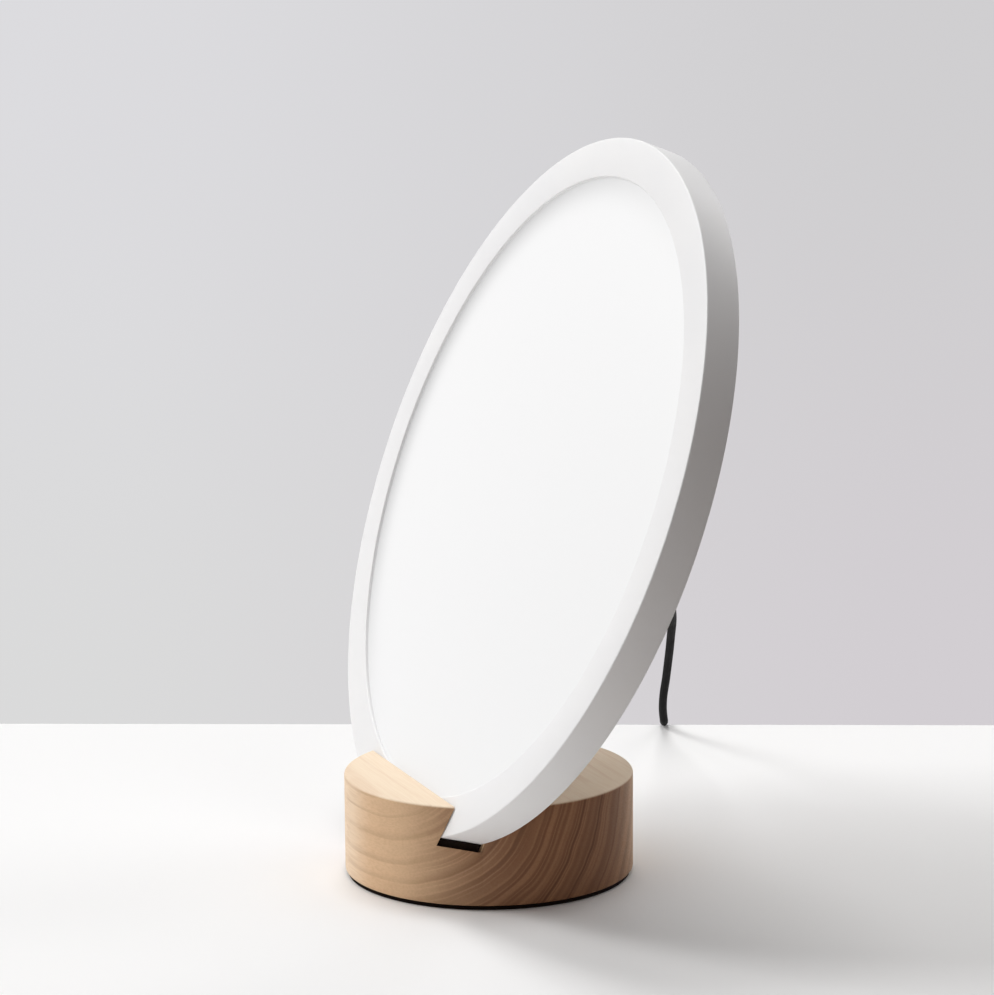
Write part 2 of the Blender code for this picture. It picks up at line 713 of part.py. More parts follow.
def make_cord_relief(axis, material):
    """Tapered rubber sleeve that guards the cord, held in the cover by its own neck."""
    profile = [
        (0, RELIEF_FLANGE_FRONT),
        (RELIEF_ROOT_RADIUS, RELIEF_FLANGE_FRONT),
        (RELIEF_ROOT_RADIUS, RELIEF_FLANGE_BACK),
        (RELIEF_NECK_RADIUS, RELIEF_FLANGE_BACK),
        (RELIEF_NECK_RADIUS, RELIEF_ROOT),
    ]
    profile += grooved_cone(
        RELIEF_ROOT,
        RELIEF_TIP,
        RELIEF_ROOT_RADIUS,
        RELIEF_TIP_RADIUS,
        RELIEF_COLLAR,
        RELIEF_GROOVES,
        GROOVE_DEPTH,
        GROOVE_WIDTH,
    )
    profile.append((0, RELIEF_TIP))
    place_at = (0, -OUTLET_DOWN)
    turned("cord_relief", profile, RELIEF_STEPS, material, axis, place_at)


def make_leads(axis, finishes):
    """Two short leads from the outlet to the board, and two from the board to the strip."""
    board_low = BOARD_UP - BOARD_HEIGHT / 2
    socket_z = BOARD_BACK - SOCKET_HEIGHT / 2
    flange_z = (RELIEF_FLANGE_FRONT + RELIEF_FLANGE_BACK) / 2
    strip_z = FOAM_FRONT - LEAD_RADIUS
    outlet_y = -OUTLET_DOWN + RELIEF_ROOT_RADIUS + FIT
    socket_x = BOARD_WIDTH / 2
    for word, side in (("plus", 1), ("minus", -1)):
        across = side * LEAD_SPACING / 2
        route = [
            (across, outlet_y, flange_z),
            (across, outlet_y + LEAD_RADIUS * 4, flange_z),
            (across, board_low - LEAD_RADIUS * 4, socket_z),
            (across, board_low, socket_z),
        ]
        points = smooth_path(route, LEAD_RADIUS * 3)
        tube(f"supply_lead_{word}", points, LEAD_RADIUS, 1, finishes[word], axis)
        level = BOARD_UP + across
        end = math.sqrt(STRIP_INNER**2 - level**2) - FIT - LEAD_RADIUS
        route = [
            (socket_x, level, socket_z),
            (socket_x + LEAD_BEND, level, socket_z),
            (end - 2 * LEAD_BEND, level, socket_z),
            (end - LEAD_BEND / 2, level, strip_z),
            (end, level, strip_z),
        ]
        points = smooth_path(route, LEAD_BEND)
        tube(f"strip_lead_{word}", points, LEAD_RADIUS, 1, finishes[word], axis)


def make_base(axis, finishes):
    """Solid wood block with a slanted slot, a strip that lines the slot and a pad beneath."""
    block = disc("base_block", BASE_RADIUS, WOOD_BOTTOM, BASE_TOP, ROUND_STEPS, finishes["wood"])
    bevel(block, WOOD_ROUND, WOOD_ROUND_STEPS)
    slot = bmesh.new()
    front, back = SLOT_CLEARANCE, -PANEL_THICKNESS - SLOT_CLEARANCE
    add_cylinder(slot, SLOT_FLOOR_RADIUS, back, front, ROUND_STEPS)
    combine(block, helper("slot_cutter", slot, axis), "DIFFERENCE")
    inner, outer = PANEL_RADIUS + FIT, SLOT_FLOOR_RADIUS - FIT
    middle = -PANEL_THICKNESS / 2
    profile = [
        (inner, middle + LINER_WIDTH / 2),
        (outer, middle + LINER_WIDTH / 2),
        (outer, middle - LINER_WIDTH / 2),
        (inner, middle - LINER_WIDTH / 2),
    ]
    liner = turned("slot_liner", profile, ROUND_STEPS, finishes["liner"], axis)
    inside = bmesh.new()
    add_cylinder(inside, BASE_RADIUS - LINER_RECESS, WOOD_BOTTOM, BASE_TOP, ROUND_STEPS)
    combine(liner, helper("liner_trim", inside), "INTERSECT")
    pad_radius = BASE_RADIUS - PAD_INSET
    disc("base_pad", pad_radius, 0, PAD_THICKNESS, INNER_STEPS, finishes["pad"], None, PAD_ROUND)


def heading(turn=0):
    """Unit vector on the floor, turned from the direction in which the coil's lead runs."""
    angle = COIL_HEADING + turn
    return Vector((math.cos(angle), math.sin(angle), 0))


def coil_frame():
    """Where the coil's first turn starts, and the coil's centre, at floor level."""
    start = Vector((*COIL_LEAD_START, 0)) + heading() * COIL_LEAD
    return start, start + heading(math.pi / 2) * COIL_OUTER


def coil_points():
    """The coil's centreline: a straight lead, piled spirals and a straight tail."""
    start, centre = coil_frame()
    bottom = CORD_RADIUS + FLOOR_GAP + TIE_THICKNESS + TIE_SLACK
    lead_start = Vector((*COIL_LEAD_START, CORD_FLOOR)) + heading() * FIT
    points = [lead_start, lead_start + heading() * 2 * CORD_RADIUS]
    for i in range(1, COIL_LEAD_POINTS):
        share = i / COIL_LEAD_POINTS
        rise = (bottom - CORD_FLOOR) * (3 * share**2 - 2 * share**3)
        first = points[1].lerp(Vector((start.x, start.y, CORD_FLOOR)), share)
        points.append(first + Vector((0, 0, rise)))
    first_angle = COIL_HEADING - math.pi / 2
    turns_each = COIL_LAYER_TURNS + COIL_CLIMB_TURNS
    total = COIL_LAYERS * turns_each - COIL_CLIMB_TURNS
    count = round(total * COIL_POINTS_PER_TURN)
    sweep = COIL_PITCH * COIL_LAYER_TURNS
    for k in range(count + 1):
        turn = total * k / count
        layer = min(int(turn / turns_each), COIL_LAYERS - 1)
        into = turn - layer * turns_each
        share = min(into / COIL_LAYER_TURNS, 1)
        climb = max(0, into - COIL_LAYER_TURNS) / COIL_CLIMB_TURNS
        inwards = share if layer % 2 == 0 else 1 - share
        radius = COIL_OUTER - sweep * inwards
        angle = first_angle + turn * math.tau
        flat = Vector((math.cos(angle), math.sin(angle), 0)) * radius
        points.append(centre + flat + Vector((0, 0, bottom + COIL_PITCH * (layer + climb))))
    last_angle = first_angle + total * math.tau + math.pi / 2
    away = Vector((math.cos(last_angle), math.sin(last_angle), 0))
    end = points[-1]
    for i in range(1, COIL_TAIL_POINTS + 1):
        points.append(end + away * COIL_TAIL * i / COIL_TAIL_POINTS)
    return points, away


def least_gap(points, radius):
    """The smallest clear gap between parts of a tube that aren't neighbours along it."""
    along = [0.0]
    for a, b in zip(points, points[1:]):
        along.append(along[-1] + (b - a).length)
    least = math.inf
    for i, a in enumerate(points):
        for j in range(i + 1, len(points) - 1):
            if along[j] - along[i] < 8 * radius:
                continue
            b, c = points[j], points[j + 1]
            share = max(0, min(1, (a - b).dot(c - b) / (c - b).length_squared))
            least = min(least, (a - b.lerp(c, share)).length)
    return least - 2 * radius


def make_cord(finishes):
    """The free stretch, the coil with its tie, and the wall adapter on the end."""
    tip = PANEL_TO_WORLD @ Vector((0, -OUTLET_DOWN, RELIEF_TIP - FIT))
    out = (PANEL_TO_WORLD.to_3x3() @ Vector((0, 0, -1))).normalized()
    drop_end = Vector((*COIL_LEAD_START, CORD_FLOOR))
    route = [tip, tip + out * 2 * CORD_RADIUS] + CORD_ROUTE
    route += [drop_end - heading() * 2 * CORD_RADIUS, drop_end]
    drop = smooth_path(route, CORD_POINT_SPACING)
    tube("cord_drop", drop, CORD_RADIUS, 2, finishes["cord"])
    coil, away = coil_points()
    tube("cord_coil", coil, CORD_RADIUS, 1, finishes["cord"])
    gap = least_gap(coil, CORD_RADIUS)
    print(f"coil: least gap to itself {gap * 1000:.2f} mm")
    if gap < LEAST_COIL_GAP:
        print("coil: its turns are too close together")
    length = path_length(drop) + path_length(coil)
    print(f"cord: {length:.3f} m, of which {path_length(coil):.3f} m is coiled")
    make_tie(finishes["tie"])
    make_adapter(coil[-1], away, finishes)


def rounded_loop(bm, low, high, radius, at):
    """Vertices round a rectangle with round corners, upright in the XZ plane at Y = at."""
    loop = []
    for x, z, start in ((1, 1, 0), (-1, 1, 90), (-1, -1, 180), (1, -1, 270)):
        centre_x = high[0] - radius if x > 0 else low[0] + radius
        centre_z = high[1] - radius if z > 0 else low[1] + radius
        for i in range(TIE_ROUND_STEPS + 1):
            angle = math.radians(start + 90 * i / TIE_ROUND_STEPS)
            point = (centre_x + radius * math.cos(angle), at, centre_z + radius * math.sin(angle))
            loop.append(bm.verts.new(point))
    return loop


def make_tie(material):
    """Strap round the whole bundle of turns, as a rounded rectangular loop."""
    thick = TIE_THICKNESS
    low_r = COIL_OUTER - COIL_PITCH * COIL_LAYER_TURNS - CORD_RADIUS - TIE_INNER_SLACK
    high_r = COIL_OUTER + CORD_RADIUS + TIE_SLACK
    low_z = FLOOR_GAP + thick
    high_z = low_z + TIE_SLACK * 2 + 2 * CORD_RADIUS + COIL_PITCH * (COIL_LAYERS - 1)
    bm = bmesh.new()
    loops = []
    for at in (-TIE_WIDTH / 2, TIE_WIDTH / 2):
        inside = rounded_loop(bm, (low_r, low_z), (high_r, high_z), TIE_ROUND, at)
        low, high = (low_r - thick, low_z - thick), (high_r + thick, high_z + thick)
        loops.append((inside, rounded_loop(bm, low, high, TIE_ROUND + thick, at)))
    (inner_a, outer_a), (inner_b, outer_b) = loops
    count = len(inner_a)
    for a, b in ((inner_a, outer_a), (outer_a, outer_b), (outer_b, inner_b), (inner_b, inner_a)):
        for i in range(count):
            j = (i + 1) % count
            bm.faces.new((a[i], a[j], b[j], b[i]))
    tie = place("coil_tie", mesh_of(bm, "coil_tie"), material, None, coil_frame()[1])
    tie.rotation_euler = (0, 0, COIL_HEADING + TIE_TURN_SHARE * math.tau)


def make_adapter(cord_end, away, finishes):
    """Wall adapter lying on its side: two shells, two blades and its own strain relief."""
    axis = bpy.data.objects.new("adapter_axis", None)
    bpy.context.scene.collection.objects.link(axis)
    axis.location = (*(cord_end + away * FIT).xy, 0)
    axis.rotation_euler = (0, 0, math.atan2(away.y, away.x))
    level = cord_end.z
    bottom = level - ADAPTER_HEIGHT / 2
    near = ADAPTER_RELIEF_LENGTH + FIT
    far = near + ADAPTER_LENGTH
    split = (ADAPTER_BACK_DEPTH - ADAPTER_FRONT_DEPTH) / 2
    front = -split - FIT / 2
    shells = (
        ("adapter_front", front - ADAPTER_FRONT_DEPTH, front, -1),
        ("adapter_back", -split + FIT / 2, -split + FIT / 2 + ADAPTER_BACK_DEPTH, 1),
    )
    for name, low, high, side in shells:
        bm = bmesh.new()
        add_box(bm, (near, low, bottom), (far, high, bottom + ADAPTER_HEIGHT))
        corners = [e for e in bm.edges if abs((e.verts[0].co - e.verts[1].co).normalized().y) > 0.9]
        round_off(bm, corners, ADAPTER_CORNER, ADAPTER_CORNER_STEPS)
        outside = low if side < 0 else high
        rim = [e for e in bm.edges if all(abs(v.co.y - outside) < FIT / 10 for v in e.verts)]
        round_off(bm, rim, ADAPTER_EDGE, ADAPTER_EDGE_STEPS)
        place(name, mesh_of(bm, name), finishes["adapter"], axis)
    for number, side in enumerate((-1, 1), 1):
        make_blade(f"adapter_blade_{number}", axis, finishes, near, front, level, side)
    relief = bpy.data.objects.new("adapter_relief_axis", None)
    bpy.context.scene.collection.objects.link(relief)
    relief.parent = axis
    relief.location = (0, 0, level)
    relief.rotation_euler = (0, math.pi / 2, 0)
    profile = [(0, 0), (ADAPTER_RELIEF_TIP, 0)]
    body = grooved_cone(
        ADAPTER_RELIEF_LENGTH,
        0,
        ADAPTER_RELIEF_ROOT,
        ADAPTER_RELIEF_TIP,
        RELIEF_COLLAR,
        RELIEF_GROOVES - 1,
        GROOVE_DEPTH,
        GROOVE_WIDTH,
    )
    profile += body[::-1][1:] + [(0, ADAPTER_RELIEF_LENGTH)]
    turned("adapter_relief", profile, RELIEF_STEPS, finishes["adapter"], relief)


def round_off(bm, edges, offset, segments):
    bmesh.ops.bevel(
        bm, geom=edges, offset=offset, offset_type="OFFSET", segments=segments, profile=0.5,
        affect="EDGES",
    )


def make_blade(name, axis, finishes, near, front, level, side):
    """Flat contact blade with a chamfered tip and the usual hole near it."""
    bm = bmesh.new()
    middle = near + ADAPTER_LENGTH / 2 + side * BLADE_SPACING / 2
    root = front - ADAPTER_FRONT_DEPTH - FIT
    tip = root - BLADE_LENGTH
    half_width, half_thick = BLADE_WIDTH / 2, BLADE_THICKNESS / 2
    low = (middle - half_thick, tip, level - half_width)
    high = (middle + half_thick, root, level + half_width)
    add_box(bm, low, high)
    rim = [
        e
        for e in bm.edges
        if all(abs(v.co.y - tip) < FIT / 10 for v in e.verts)
        and abs((e.verts[0].co - e.verts[1].co).normalized().x) > 0.9
    ]
    round_off(bm, rim, BLADE_TIP, 1)
    blade = place(name, mesh_of(bm, name), finishes["blade"], axis)
    hole = bmesh.new()
    length = BLADE_THICKNESS + 2 * OVERRUN
    at = Matrix.Translation((middle, tip + BLADE_HOLE_FROM_TIP, level))
    bmesh.ops.create_cone(
        hole,
        cap_ends=True,
        segments=BLADE_HOLE_STEPS,
        radius1=BLADE_HOLE_RADIUS,
        radius2=BLADE_HOLE_RADIUS,
        depth=length,
        matrix=at @ Matrix.Rotation(math.pi / 2, 4, "Y"),
    )
    combine(blade, helper(name + "_hole", hole, axis), "DIFFERENCE")


def make_lamp():
    clear_scene()
    finishes = {
        "white": finish("white_frame", (0.86, 0.86, 0.86), 0.45),
        "cover": finish("white_cover", (0.84, 0.84, 0.84), 0.5),
        "opal": finish("opal_diffuser", (0.93, 0.93, 0.93), 0.35),
        "clear": finish("clear_guide", (0.88, 0.9, 0.91), 0.1),
        "film": finish("reflector_film", (0.9, 0.9, 0.9), 0.3),
        "strip": finish("led_strip", (0.85, 0.83, 0.72), 0.5),
        "aluminium": finish("aluminium", (0.75, 0.76, 0.77), 0.35, 1.0),
        "foam": finish("foam", (0.12, 0.12, 0.12), 0.95),
        "steel": finish("screw_steel", (0.6, 0.6, 0.6), 0.3, 1.0),
        "board": finish("board_green", (0.05, 0.25, 0.12), 0.5),
        "black": finish("switch_black", (0.03, 0.03, 0.03), 0.5),
        "plunger": finish("plunger_black", (0.05, 0.05, 0.05), 0.4),
        "button": finish("button_white", (0.82, 0.82, 0.82), 0.35),
        "relief": finish("relief_black", (0.025, 0.025, 0.025), 0.6),
        "plus": finish("lead_red", (0.5, 0.03, 0.03), 0.4),
        "minus": finish("lead_black", (0.03, 0.03, 0.03), 0.4),
        "wood": finish("pale_wood", (0.55, 0.36, 0.22), 0.55),
        "liner": finish("liner_black", (0.02, 0.02, 0.02), 0.8),
        "pad": finish("pad_black", (0.02, 0.02, 0.02), 0.85),
        "cord": finish("cord_black", (0.02, 0.02, 0.02), 0.5),
        "tie": finish("tie_black", (0.04, 0.04, 0.04), 0.8),
        "adapter": finish("adapter_black", (0.03, 0.03, 0.03), 0.45),
        "blade": finish("blade_metal", (0.7, 0.65, 0.5), 0.25, 1.0),
    }
    axis = bpy.data.objects.new("panel_axis", None)
    bpy.context.scene.collection.objects.link(axis)
    axis.location = PANEL_CENTRE
    axis.rotation_euler = (PANEL_TURN, 0, 0)
    button_axis = bpy.data.objects.new("button_axis", None)
    bpy.context.scene.collection.objects.link(button_axis)
    button_axis.parent = axis
    button_axis.location = (0, BUTTON_UP, 0)
    make_front_frame(axis, finishes["white"])
    make_optical_stack(axis, finishes)
    make_led_strip(axis, finishes["strip"])
    make_heat_ring(axis, finishes["aluminium"])
    make_foam(axis, finishes["foam"])
    make_rear_cover(axis, finishes["cover"])
    make_cover_screws(axis, finishes["steel"])
    make_board(axis, finishes["board"])
    make_switch(axis, finishes)
    make_button(button_axis, finishes)
    make_cord_relief(axis, finishes["relief"])
    make_leads(axis, finishes)
    make_base(axis, finishes)
    make_cord(finishes)


make_lamp()
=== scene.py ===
"""Light therapy lamp on a white desk: a round lit panel that leans back in a wooden base."""

import math

import bmesh
import bpy
from mathutils import Matrix, Vector


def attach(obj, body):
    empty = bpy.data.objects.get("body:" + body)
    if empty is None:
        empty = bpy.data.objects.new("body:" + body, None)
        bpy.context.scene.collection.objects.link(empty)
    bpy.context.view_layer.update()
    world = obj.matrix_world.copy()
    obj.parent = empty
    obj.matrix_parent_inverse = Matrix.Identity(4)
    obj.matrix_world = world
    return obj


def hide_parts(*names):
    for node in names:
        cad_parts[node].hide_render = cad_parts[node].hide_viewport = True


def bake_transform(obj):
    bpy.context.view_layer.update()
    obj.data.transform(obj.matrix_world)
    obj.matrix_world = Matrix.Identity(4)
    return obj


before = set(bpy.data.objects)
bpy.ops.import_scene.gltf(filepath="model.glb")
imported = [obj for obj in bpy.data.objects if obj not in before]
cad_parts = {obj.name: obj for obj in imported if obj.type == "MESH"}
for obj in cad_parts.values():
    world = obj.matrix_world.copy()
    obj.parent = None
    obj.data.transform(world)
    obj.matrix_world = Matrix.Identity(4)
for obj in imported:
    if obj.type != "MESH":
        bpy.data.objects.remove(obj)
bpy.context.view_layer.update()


# Camera: a long lens, a little above the panel's middle, from the lamp's front right. Its place
# and turn come from fitting the panel's and the base's outlines.
CAMERA_PLACE = (1.310572, -0.507858, 0.415118)
CAMERA_RIGHT = Vector((0.36528266, 0.93087324, -0.00660183))
CAMERA_UP = Vector((-0.16493783, 0.07169946, 0.98369441))
CAMERA_BACK = Vector((0.91616816, -0.35823762, 0.17972678))
camera_data = bpy.data.cameras.new("photo_camera")
camera_data.sensor_width = 36
camera_data.lens = 125.526
camera_data.clip_start = 0.05
camera_data.clip_end = 50
camera = bpy.data.objects.new("photo_camera", camera_data)
bpy.context.scene.collection.objects.link(camera)
camera_turn = Matrix((CAMERA_RIGHT, CAMERA_UP, CAMERA_BACK)).transposed().to_4x4()
camera.matrix_world = Matrix.Translation(CAMERA_PLACE) @ camera_turn
bpy.context.scene.camera = camera


# Light: three large windows to the left, one soft light overhead, a small one beyond the desk,
# and a dim room. The room is seen pale by the camera and in reflections, but lights the lamp
# only a little.
LIT_POINT = Vector((0, 0, 0.12))


def soft_light(name, place, width, power):
    """A square area light at a place, aimed at the lamp."""
    data = bpy.data.lights.new(name, "AREA")
    data.shape = "SQUARE"
    data.size = width
    data.energy = power
    light = bpy.data.objects.new(name, data)
    bpy.context.scene.collection.objects.link(light)
    light.location = place
    aim = LIT_POINT - light.location
    light.rotation_euler = aim.to_track_quat("-Z", "Y").to_euler()


soft_light("front_window", (-1.92, -3.32, 3.33), 1.6, 84)
soft_light("middle_window", (-3.03, -2.83, 2.92), 1.4, 46)
soft_light("back_window", (-3.42, -1.45, 3.47), 1.4, 25)
soft_light("overhead_light", (-1.50, 0.30, 4.50), 2.0, 88)
soft_light("far_light", (-0.60, 1.30, 1.00), 0.8, 5)

world = bpy.data.worlds.new("room")
world.use_nodes = True
bpy.context.scene.world = world
bpy.context.scene.view_settings.view_transform = "Standard"


class Shade:
    """A node's output socket. The arithmetic signs add Math nodes, and node() adds any other."""

    def __init__(self, tree, socket=None):
        self.tree = tree
        self.socket = socket

    def node(self, kind, settings=None, inputs=None, out=0):
        """Adds a node: its settings are set first, then the values or links of its inputs."""
        made = self.tree.nodes.new("ShaderNode" + kind)
        for key, value in (settings or {}).items():
            setattr(made, key, value)
        for key, value in (inputs or {}).items():
            self.feed(made.inputs[key], value)
        return Shade(self.tree, made.outputs[out])

    def feed(self, socket, value):
        """Links a shade to an input socket, or sets the socket to a plain value."""
        if isinstance(value, Shade):
            self.tree.links.new(value.socket, socket)
        else:
            socket.default_value = value

    def into(self, shader, name):
        """Links this to one of a shader's inputs."""
        self.tree.links.new(self.socket, shader.inputs[name])

    def maths(self, operation, *values):
        """A Math node."""
        return self.node("Math", {"operation": operation}, dict(enumerate(values)))

    def vectors(self, operation, *values):
        """A Vector Math node, read as a number where its operation gives one."""
        out = "Value" if operation in ("DOT_PRODUCT", "LENGTH", "DISTANCE") else "Vector"
        return self.node("VectorMath", {"operation": operation}, dict(enumerate(values)), out)

    def __add__(self, other):
        return self.maths("ADD", self, other)

    def __sub__(self, other):
        return self.maths("SUBTRACT", self, other)

    def __rsub__(self, other):
        return self.maths("SUBTRACT", other, self)

    def __mul__(self, other):
        return self.maths("MULTIPLY", self, other)

    def __truediv__(self, other):
        return self.maths("DIVIDE", self, other)

    def __pow__(self, other):
        return self.maths("POWER", self, other)

    __radd__ = __add__
    __rmul__ = __mul__

    def axis(self, letter):
        """One axis of this vector."""
        return self.node("SeparateXYZ", None, {0: self}, letter)

    def place(self):
        """The place on the piece, in metres."""
        return self.node("TexCoord", None, None, "Object")

    def ray(self, kind):
        """1 for rays of a kind, such as those from the camera, and 0 for others."""
        return self.node("LightPath", None, None, f"Is {kind} Ray")

    def steps(self, low, high, start=0.0, end=1.0):
        """Rises smoothly from start to end as this goes from low to high."""
        settings = {"interpolation_type": "SMOOTHSTEP"}
        ends = {1: low, 2: high, 3: start, 4: end}
        return self.node("MapRange", settings, {0: self, **ends})

    def tint(self, first, second):
        """A colour between two, by this share. Sockets 6 and 7 are the Mix node's two colours."""
        colours = {}
        for key, value in ((6, first), (7, second)):
            colours[key] = value if isinstance(value, Shade) else (*value, 1)
        return self.node("Mix", {"data_type": "RGBA"}, {0: self, **colours}, 2)


WALL_ALONG = Vector((0.36529, 0.93089, 0))
VIEW_TO_SIDE = 0.142
VIEW_DOWN, WALL_SPAN = 0.244, 0.206


def wall_grey_and_painted_shade(towards):
    """Pale grey paint in a direction from the camera, with painted shade a little darker and warmer
    to the right.
    """
    along = towards.vectors("DOT_PRODUCT", towards, WALL_ALONG)
    side = (along + VIEW_TO_SIDE) / (2 * VIEW_TO_SIDE)
    height = (towards.axis("Z") + VIEW_DOWN) / WALL_SPAN
    cloud = towards.node("TexNoise", None, {"Vector": towards, "Scale": 14.0, "Detail": 1.0})
    level = side.steps(0.0, 1.0) + (cloud - 0.5) * 0.12
    upper = level.tint((0.718, 0.714, 0.737), (0.630, 0.621, 0.634))
    lower = level.tint((0.702, 0.702, 0.704), (0.646, 0.616, 0.645))
    return height.steps(0.0, 0.9).tint(lower, upper)


room = Shade(world.node_tree)
direct = room.maths("MAXIMUM", room.ray("Camera"), room.ray("Glossy"))
shown = room.maths("MAXIMUM", direct, room.ray("Transmission"))
wall = wall_grey_and_painted_shade(room.node("TexCoord", None, None, "Generated"))
background = world.node_tree.nodes["Background"]
shown.tint((1.0, 0.955, 0.925), wall).into(background, "Color")
shown.steps(0, 1, 0.20, 1.0).into(background, "Strength")


# Stage: a white desk, and a low step of the wall's grey along the line where the desk ends in
# the photo. The step is seen only from the front, and takes no light.
UPRIGHT = Vector((0, 0, 1))
DESK_ALONG = Vector((0.39533, 0.91854, 0)).normalized()
DESK_AWAY = Vector((-DESK_ALONG.y, DESK_ALONG.x, 0))
DESK_EDGE = Vector((-0.2294, 0.0930, 0))
DESK_WIDTH, DESK_DEPTH, DESK_BEYOND = 3.4, 2.6, 0.19
STEP_WIDTH, STEP_HEIGHT = 0.60, 0.046


def flat_sheet(name, centre, across, upward, width, height):
    """A flat sheet on two directions, as stage."""
    bpy.ops.object.select_all(action="DESELECT")
    bpy.ops.mesh.primitive_plane_add(size=1, location=(0, 0, 0))
    sheet = bpy.context.object
    sheet.name = name
    turned_to = Matrix((across, upward, across.cross(upward))).transposed().to_4x4()
    sheet.matrix_world = (
        Matrix.Translation(centre) @ turned_to @ Matrix.Diagonal((width, height, 1, 1))
    )
    bpy.ops.object.transform_apply(location=True, rotation=True, scale=True)
    return sheet


step = flat_sheet(
    "wall_step", DESK_EDGE + UPRIGHT * STEP_HEIGHT / 2, DESK_ALONG, UPRIGHT, STEP_WIDTH, STEP_HEIGHT
)
for effect in ("shadow", "diffuse", "glossy", "transmission"):
    setattr(step, f"visible_{effect}", False)
step_paint = bpy.data.materials.new("wall_step")
step_paint.use_nodes = True
step_paint.node_tree.nodes.clear()
made = Shade(step_paint.node_tree)
towards = made.vectors("NORMALIZE", made.vectors("SUBTRACT", made.place(), camera.location[:]))
# The step glows with the wall's grey and its painted shade.
glow = made.node("Emission", None, {"Color": wall_grey_and_painted_shade(towards)})
clear = made.node("BsdfTransparent")
back_side = made.node("NewGeometry", None, None, "Backfacing")
step_end = step_paint.node_tree.nodes.new("ShaderNodeOutputMaterial")
made.node("MixShader", None, {0: back_side, 1: glow, 2: clear}).into(step_end, "Surface")
step.data.materials.append(step_paint)

desk_middle = DESK_EDGE - DESK_AWAY * (DESK_DEPTH / 2 - DESK_BEYOND)
desk = flat_sheet("desk", desk_middle, DESK_ALONG, -DESK_AWAY, DESK_WIDTH, DESK_DEPTH)


def finish(name, colour, roughness, metallic=0.0):
    """A new material, its Principled shader, and a shade to draw its nodes with."""
    material = bpy.data.materials.new(name)
    material.use_nodes = True
    shader = material.node_tree.nodes["Principled BSDF"]
    shader.inputs["Base Color"].default_value = (*colour, 1)
    shader.inputs["Roughness"].default_value = roughness
    shader.inputs["Metallic"].default_value = metallic
    return material, shader, Shade(material.node_tree)


def speckle(made, scale, detail=2.0, stretch=None):
    """Noise from 0 to 1 over the piece, stretched where asked."""
    place = made.place()
    if stretch:
        place = made.node("Mapping", None, {"Vector": place, "Scale": stretch})
    return made.node("TexNoise", None, {"Vector": place, "Scale": scale, "Detail": detail})


def bump(made, shader, height, strength, distance):
    """Raises the surface by a pattern."""
    values = {"Strength": strength, "Distance": distance, "Height": height}
    made.node("Bump", None, values, "Normal").into(shader, "Normal")


# The desk is a little paler at the front left. What it throws back at the lamp from well to the
# right is weaker and warmer, so that the rim has its shade in the photo.
desk_paint, shader, made = finish("desk_paint", (0.9, 0.9, 0.9), 0.5)
shader.inputs["Specular IOR Level"].default_value = 0.08
speckle(made, 9.0).steps(0.3, 0.7, 0.50, 0.56).into(shader, "Roughness")
place = made.place()
rightward = made.vectors("DOT_PRODUCT", place, DESK_ALONG)
nearer = made.vectors("DOT_PRODUCT", place, -DESK_AWAY)
around = made.vectors("LENGTH", place)
darker = around.steps(0.12, 0.27).tint((0.98, 0.93, 0.87), (0.21, 0.165, 0.145))
bounced = rightward.steps(0.02, 0.14).tint((0.95, 0.94, 0.93), darker)
# The paler front left is a painted pool of light, seen by the camera but not in the light the desk
# throws back at the lamp.
painted_light_front_left = nearer.steps(0.04, 0.16) * rightward.steps(-0.16, -0.02, 1.0, 0.0)
seen_white_and_painted_light = painted_light_front_left.tint((0.9, 0.9, 0.9), (0.96, 0.96, 0.96))
made.ray("Diffuse").tint(seen_white_and_painted_light, bounced).into(shader, "Base Color")
desk.data.materials.append(desk_paint)


# Cord: one round black lead, 4 mm thick and about 1.5 m long. It leaves the sleeve on the
# panel's back, sags to the desk, runs on past its edge and is wound into a small coil there.
# PANEL turns a place on the panel, whose front is at level 0, into one in the room.
CORD_RADIUS = 0.002
DESK_GAP = 0.0002
PANEL_PLACE, PANEL_TILT = (0, 0.0120772, 0.1634166), math.radians(69.3)
PANEL = Matrix.Translation(PANEL_PLACE) @ Matrix.Rotation(PANEL_TILT, 4, "X")
OUTLET_HEIGHT, EXIT_LEVEL = -0.028, -0.0371
ROUTE_SPACING = 0.003
CORD_ROUTE = [
    (0.0000, 0.0500, 0.1190),
    (-0.0022, 0.0630, 0.1141),
    (-0.0090, 0.0755, 0.1095),
    (-0.0200, 0.0865, 0.1050),
    (-0.0340, 0.0962, 0.1002),
    (-0.0495, 0.1050, 0.0949),
    (-0.0660, 0.1132, 0.0890),
    (-0.0818, 0.1208, 0.0824),
    (-0.0968, 0.1276, 0.0746),
    (-0.1098, 0.1329, 0.0661),
    (-0.1228, 0.1381, 0.0564),
    (-0.1359, 0.1431, 0.0461),
    (-0.1490, 0.1480, 0.0353),
    (-0.1622, 0.1527, 0.0244),
    (-0.1733, 0.1573, 0.0150),
    (-0.1822, 0.1617, 0.0077),
    (-0.1867, 0.1640, 0.0049),
    (-0.1921, 0.1664, 0.0029),
    (-0.1979, 0.1688, 0.0022),
    (-0.2100, 0.1740, 0.0022),
]
COIL_START = (-0.2252, 0.1804)
COIL_HEADING = math.radians(158.6)
COIL_RADIUS, COIL_PITCH, COIL_LIFT = 0.027, 0.0051, 0.001
COIL_LAYERS, LAYER_TURNS, CLIMB_TURNS = 4, 1.6875, 0.5
POINTS_PER_TURN = 64
LEAD_LENGTH, TAIL_LENGTH, STRAIGHT_PARTS = 0.020, 0.026, 8
LEAD_GAP = 0.0003


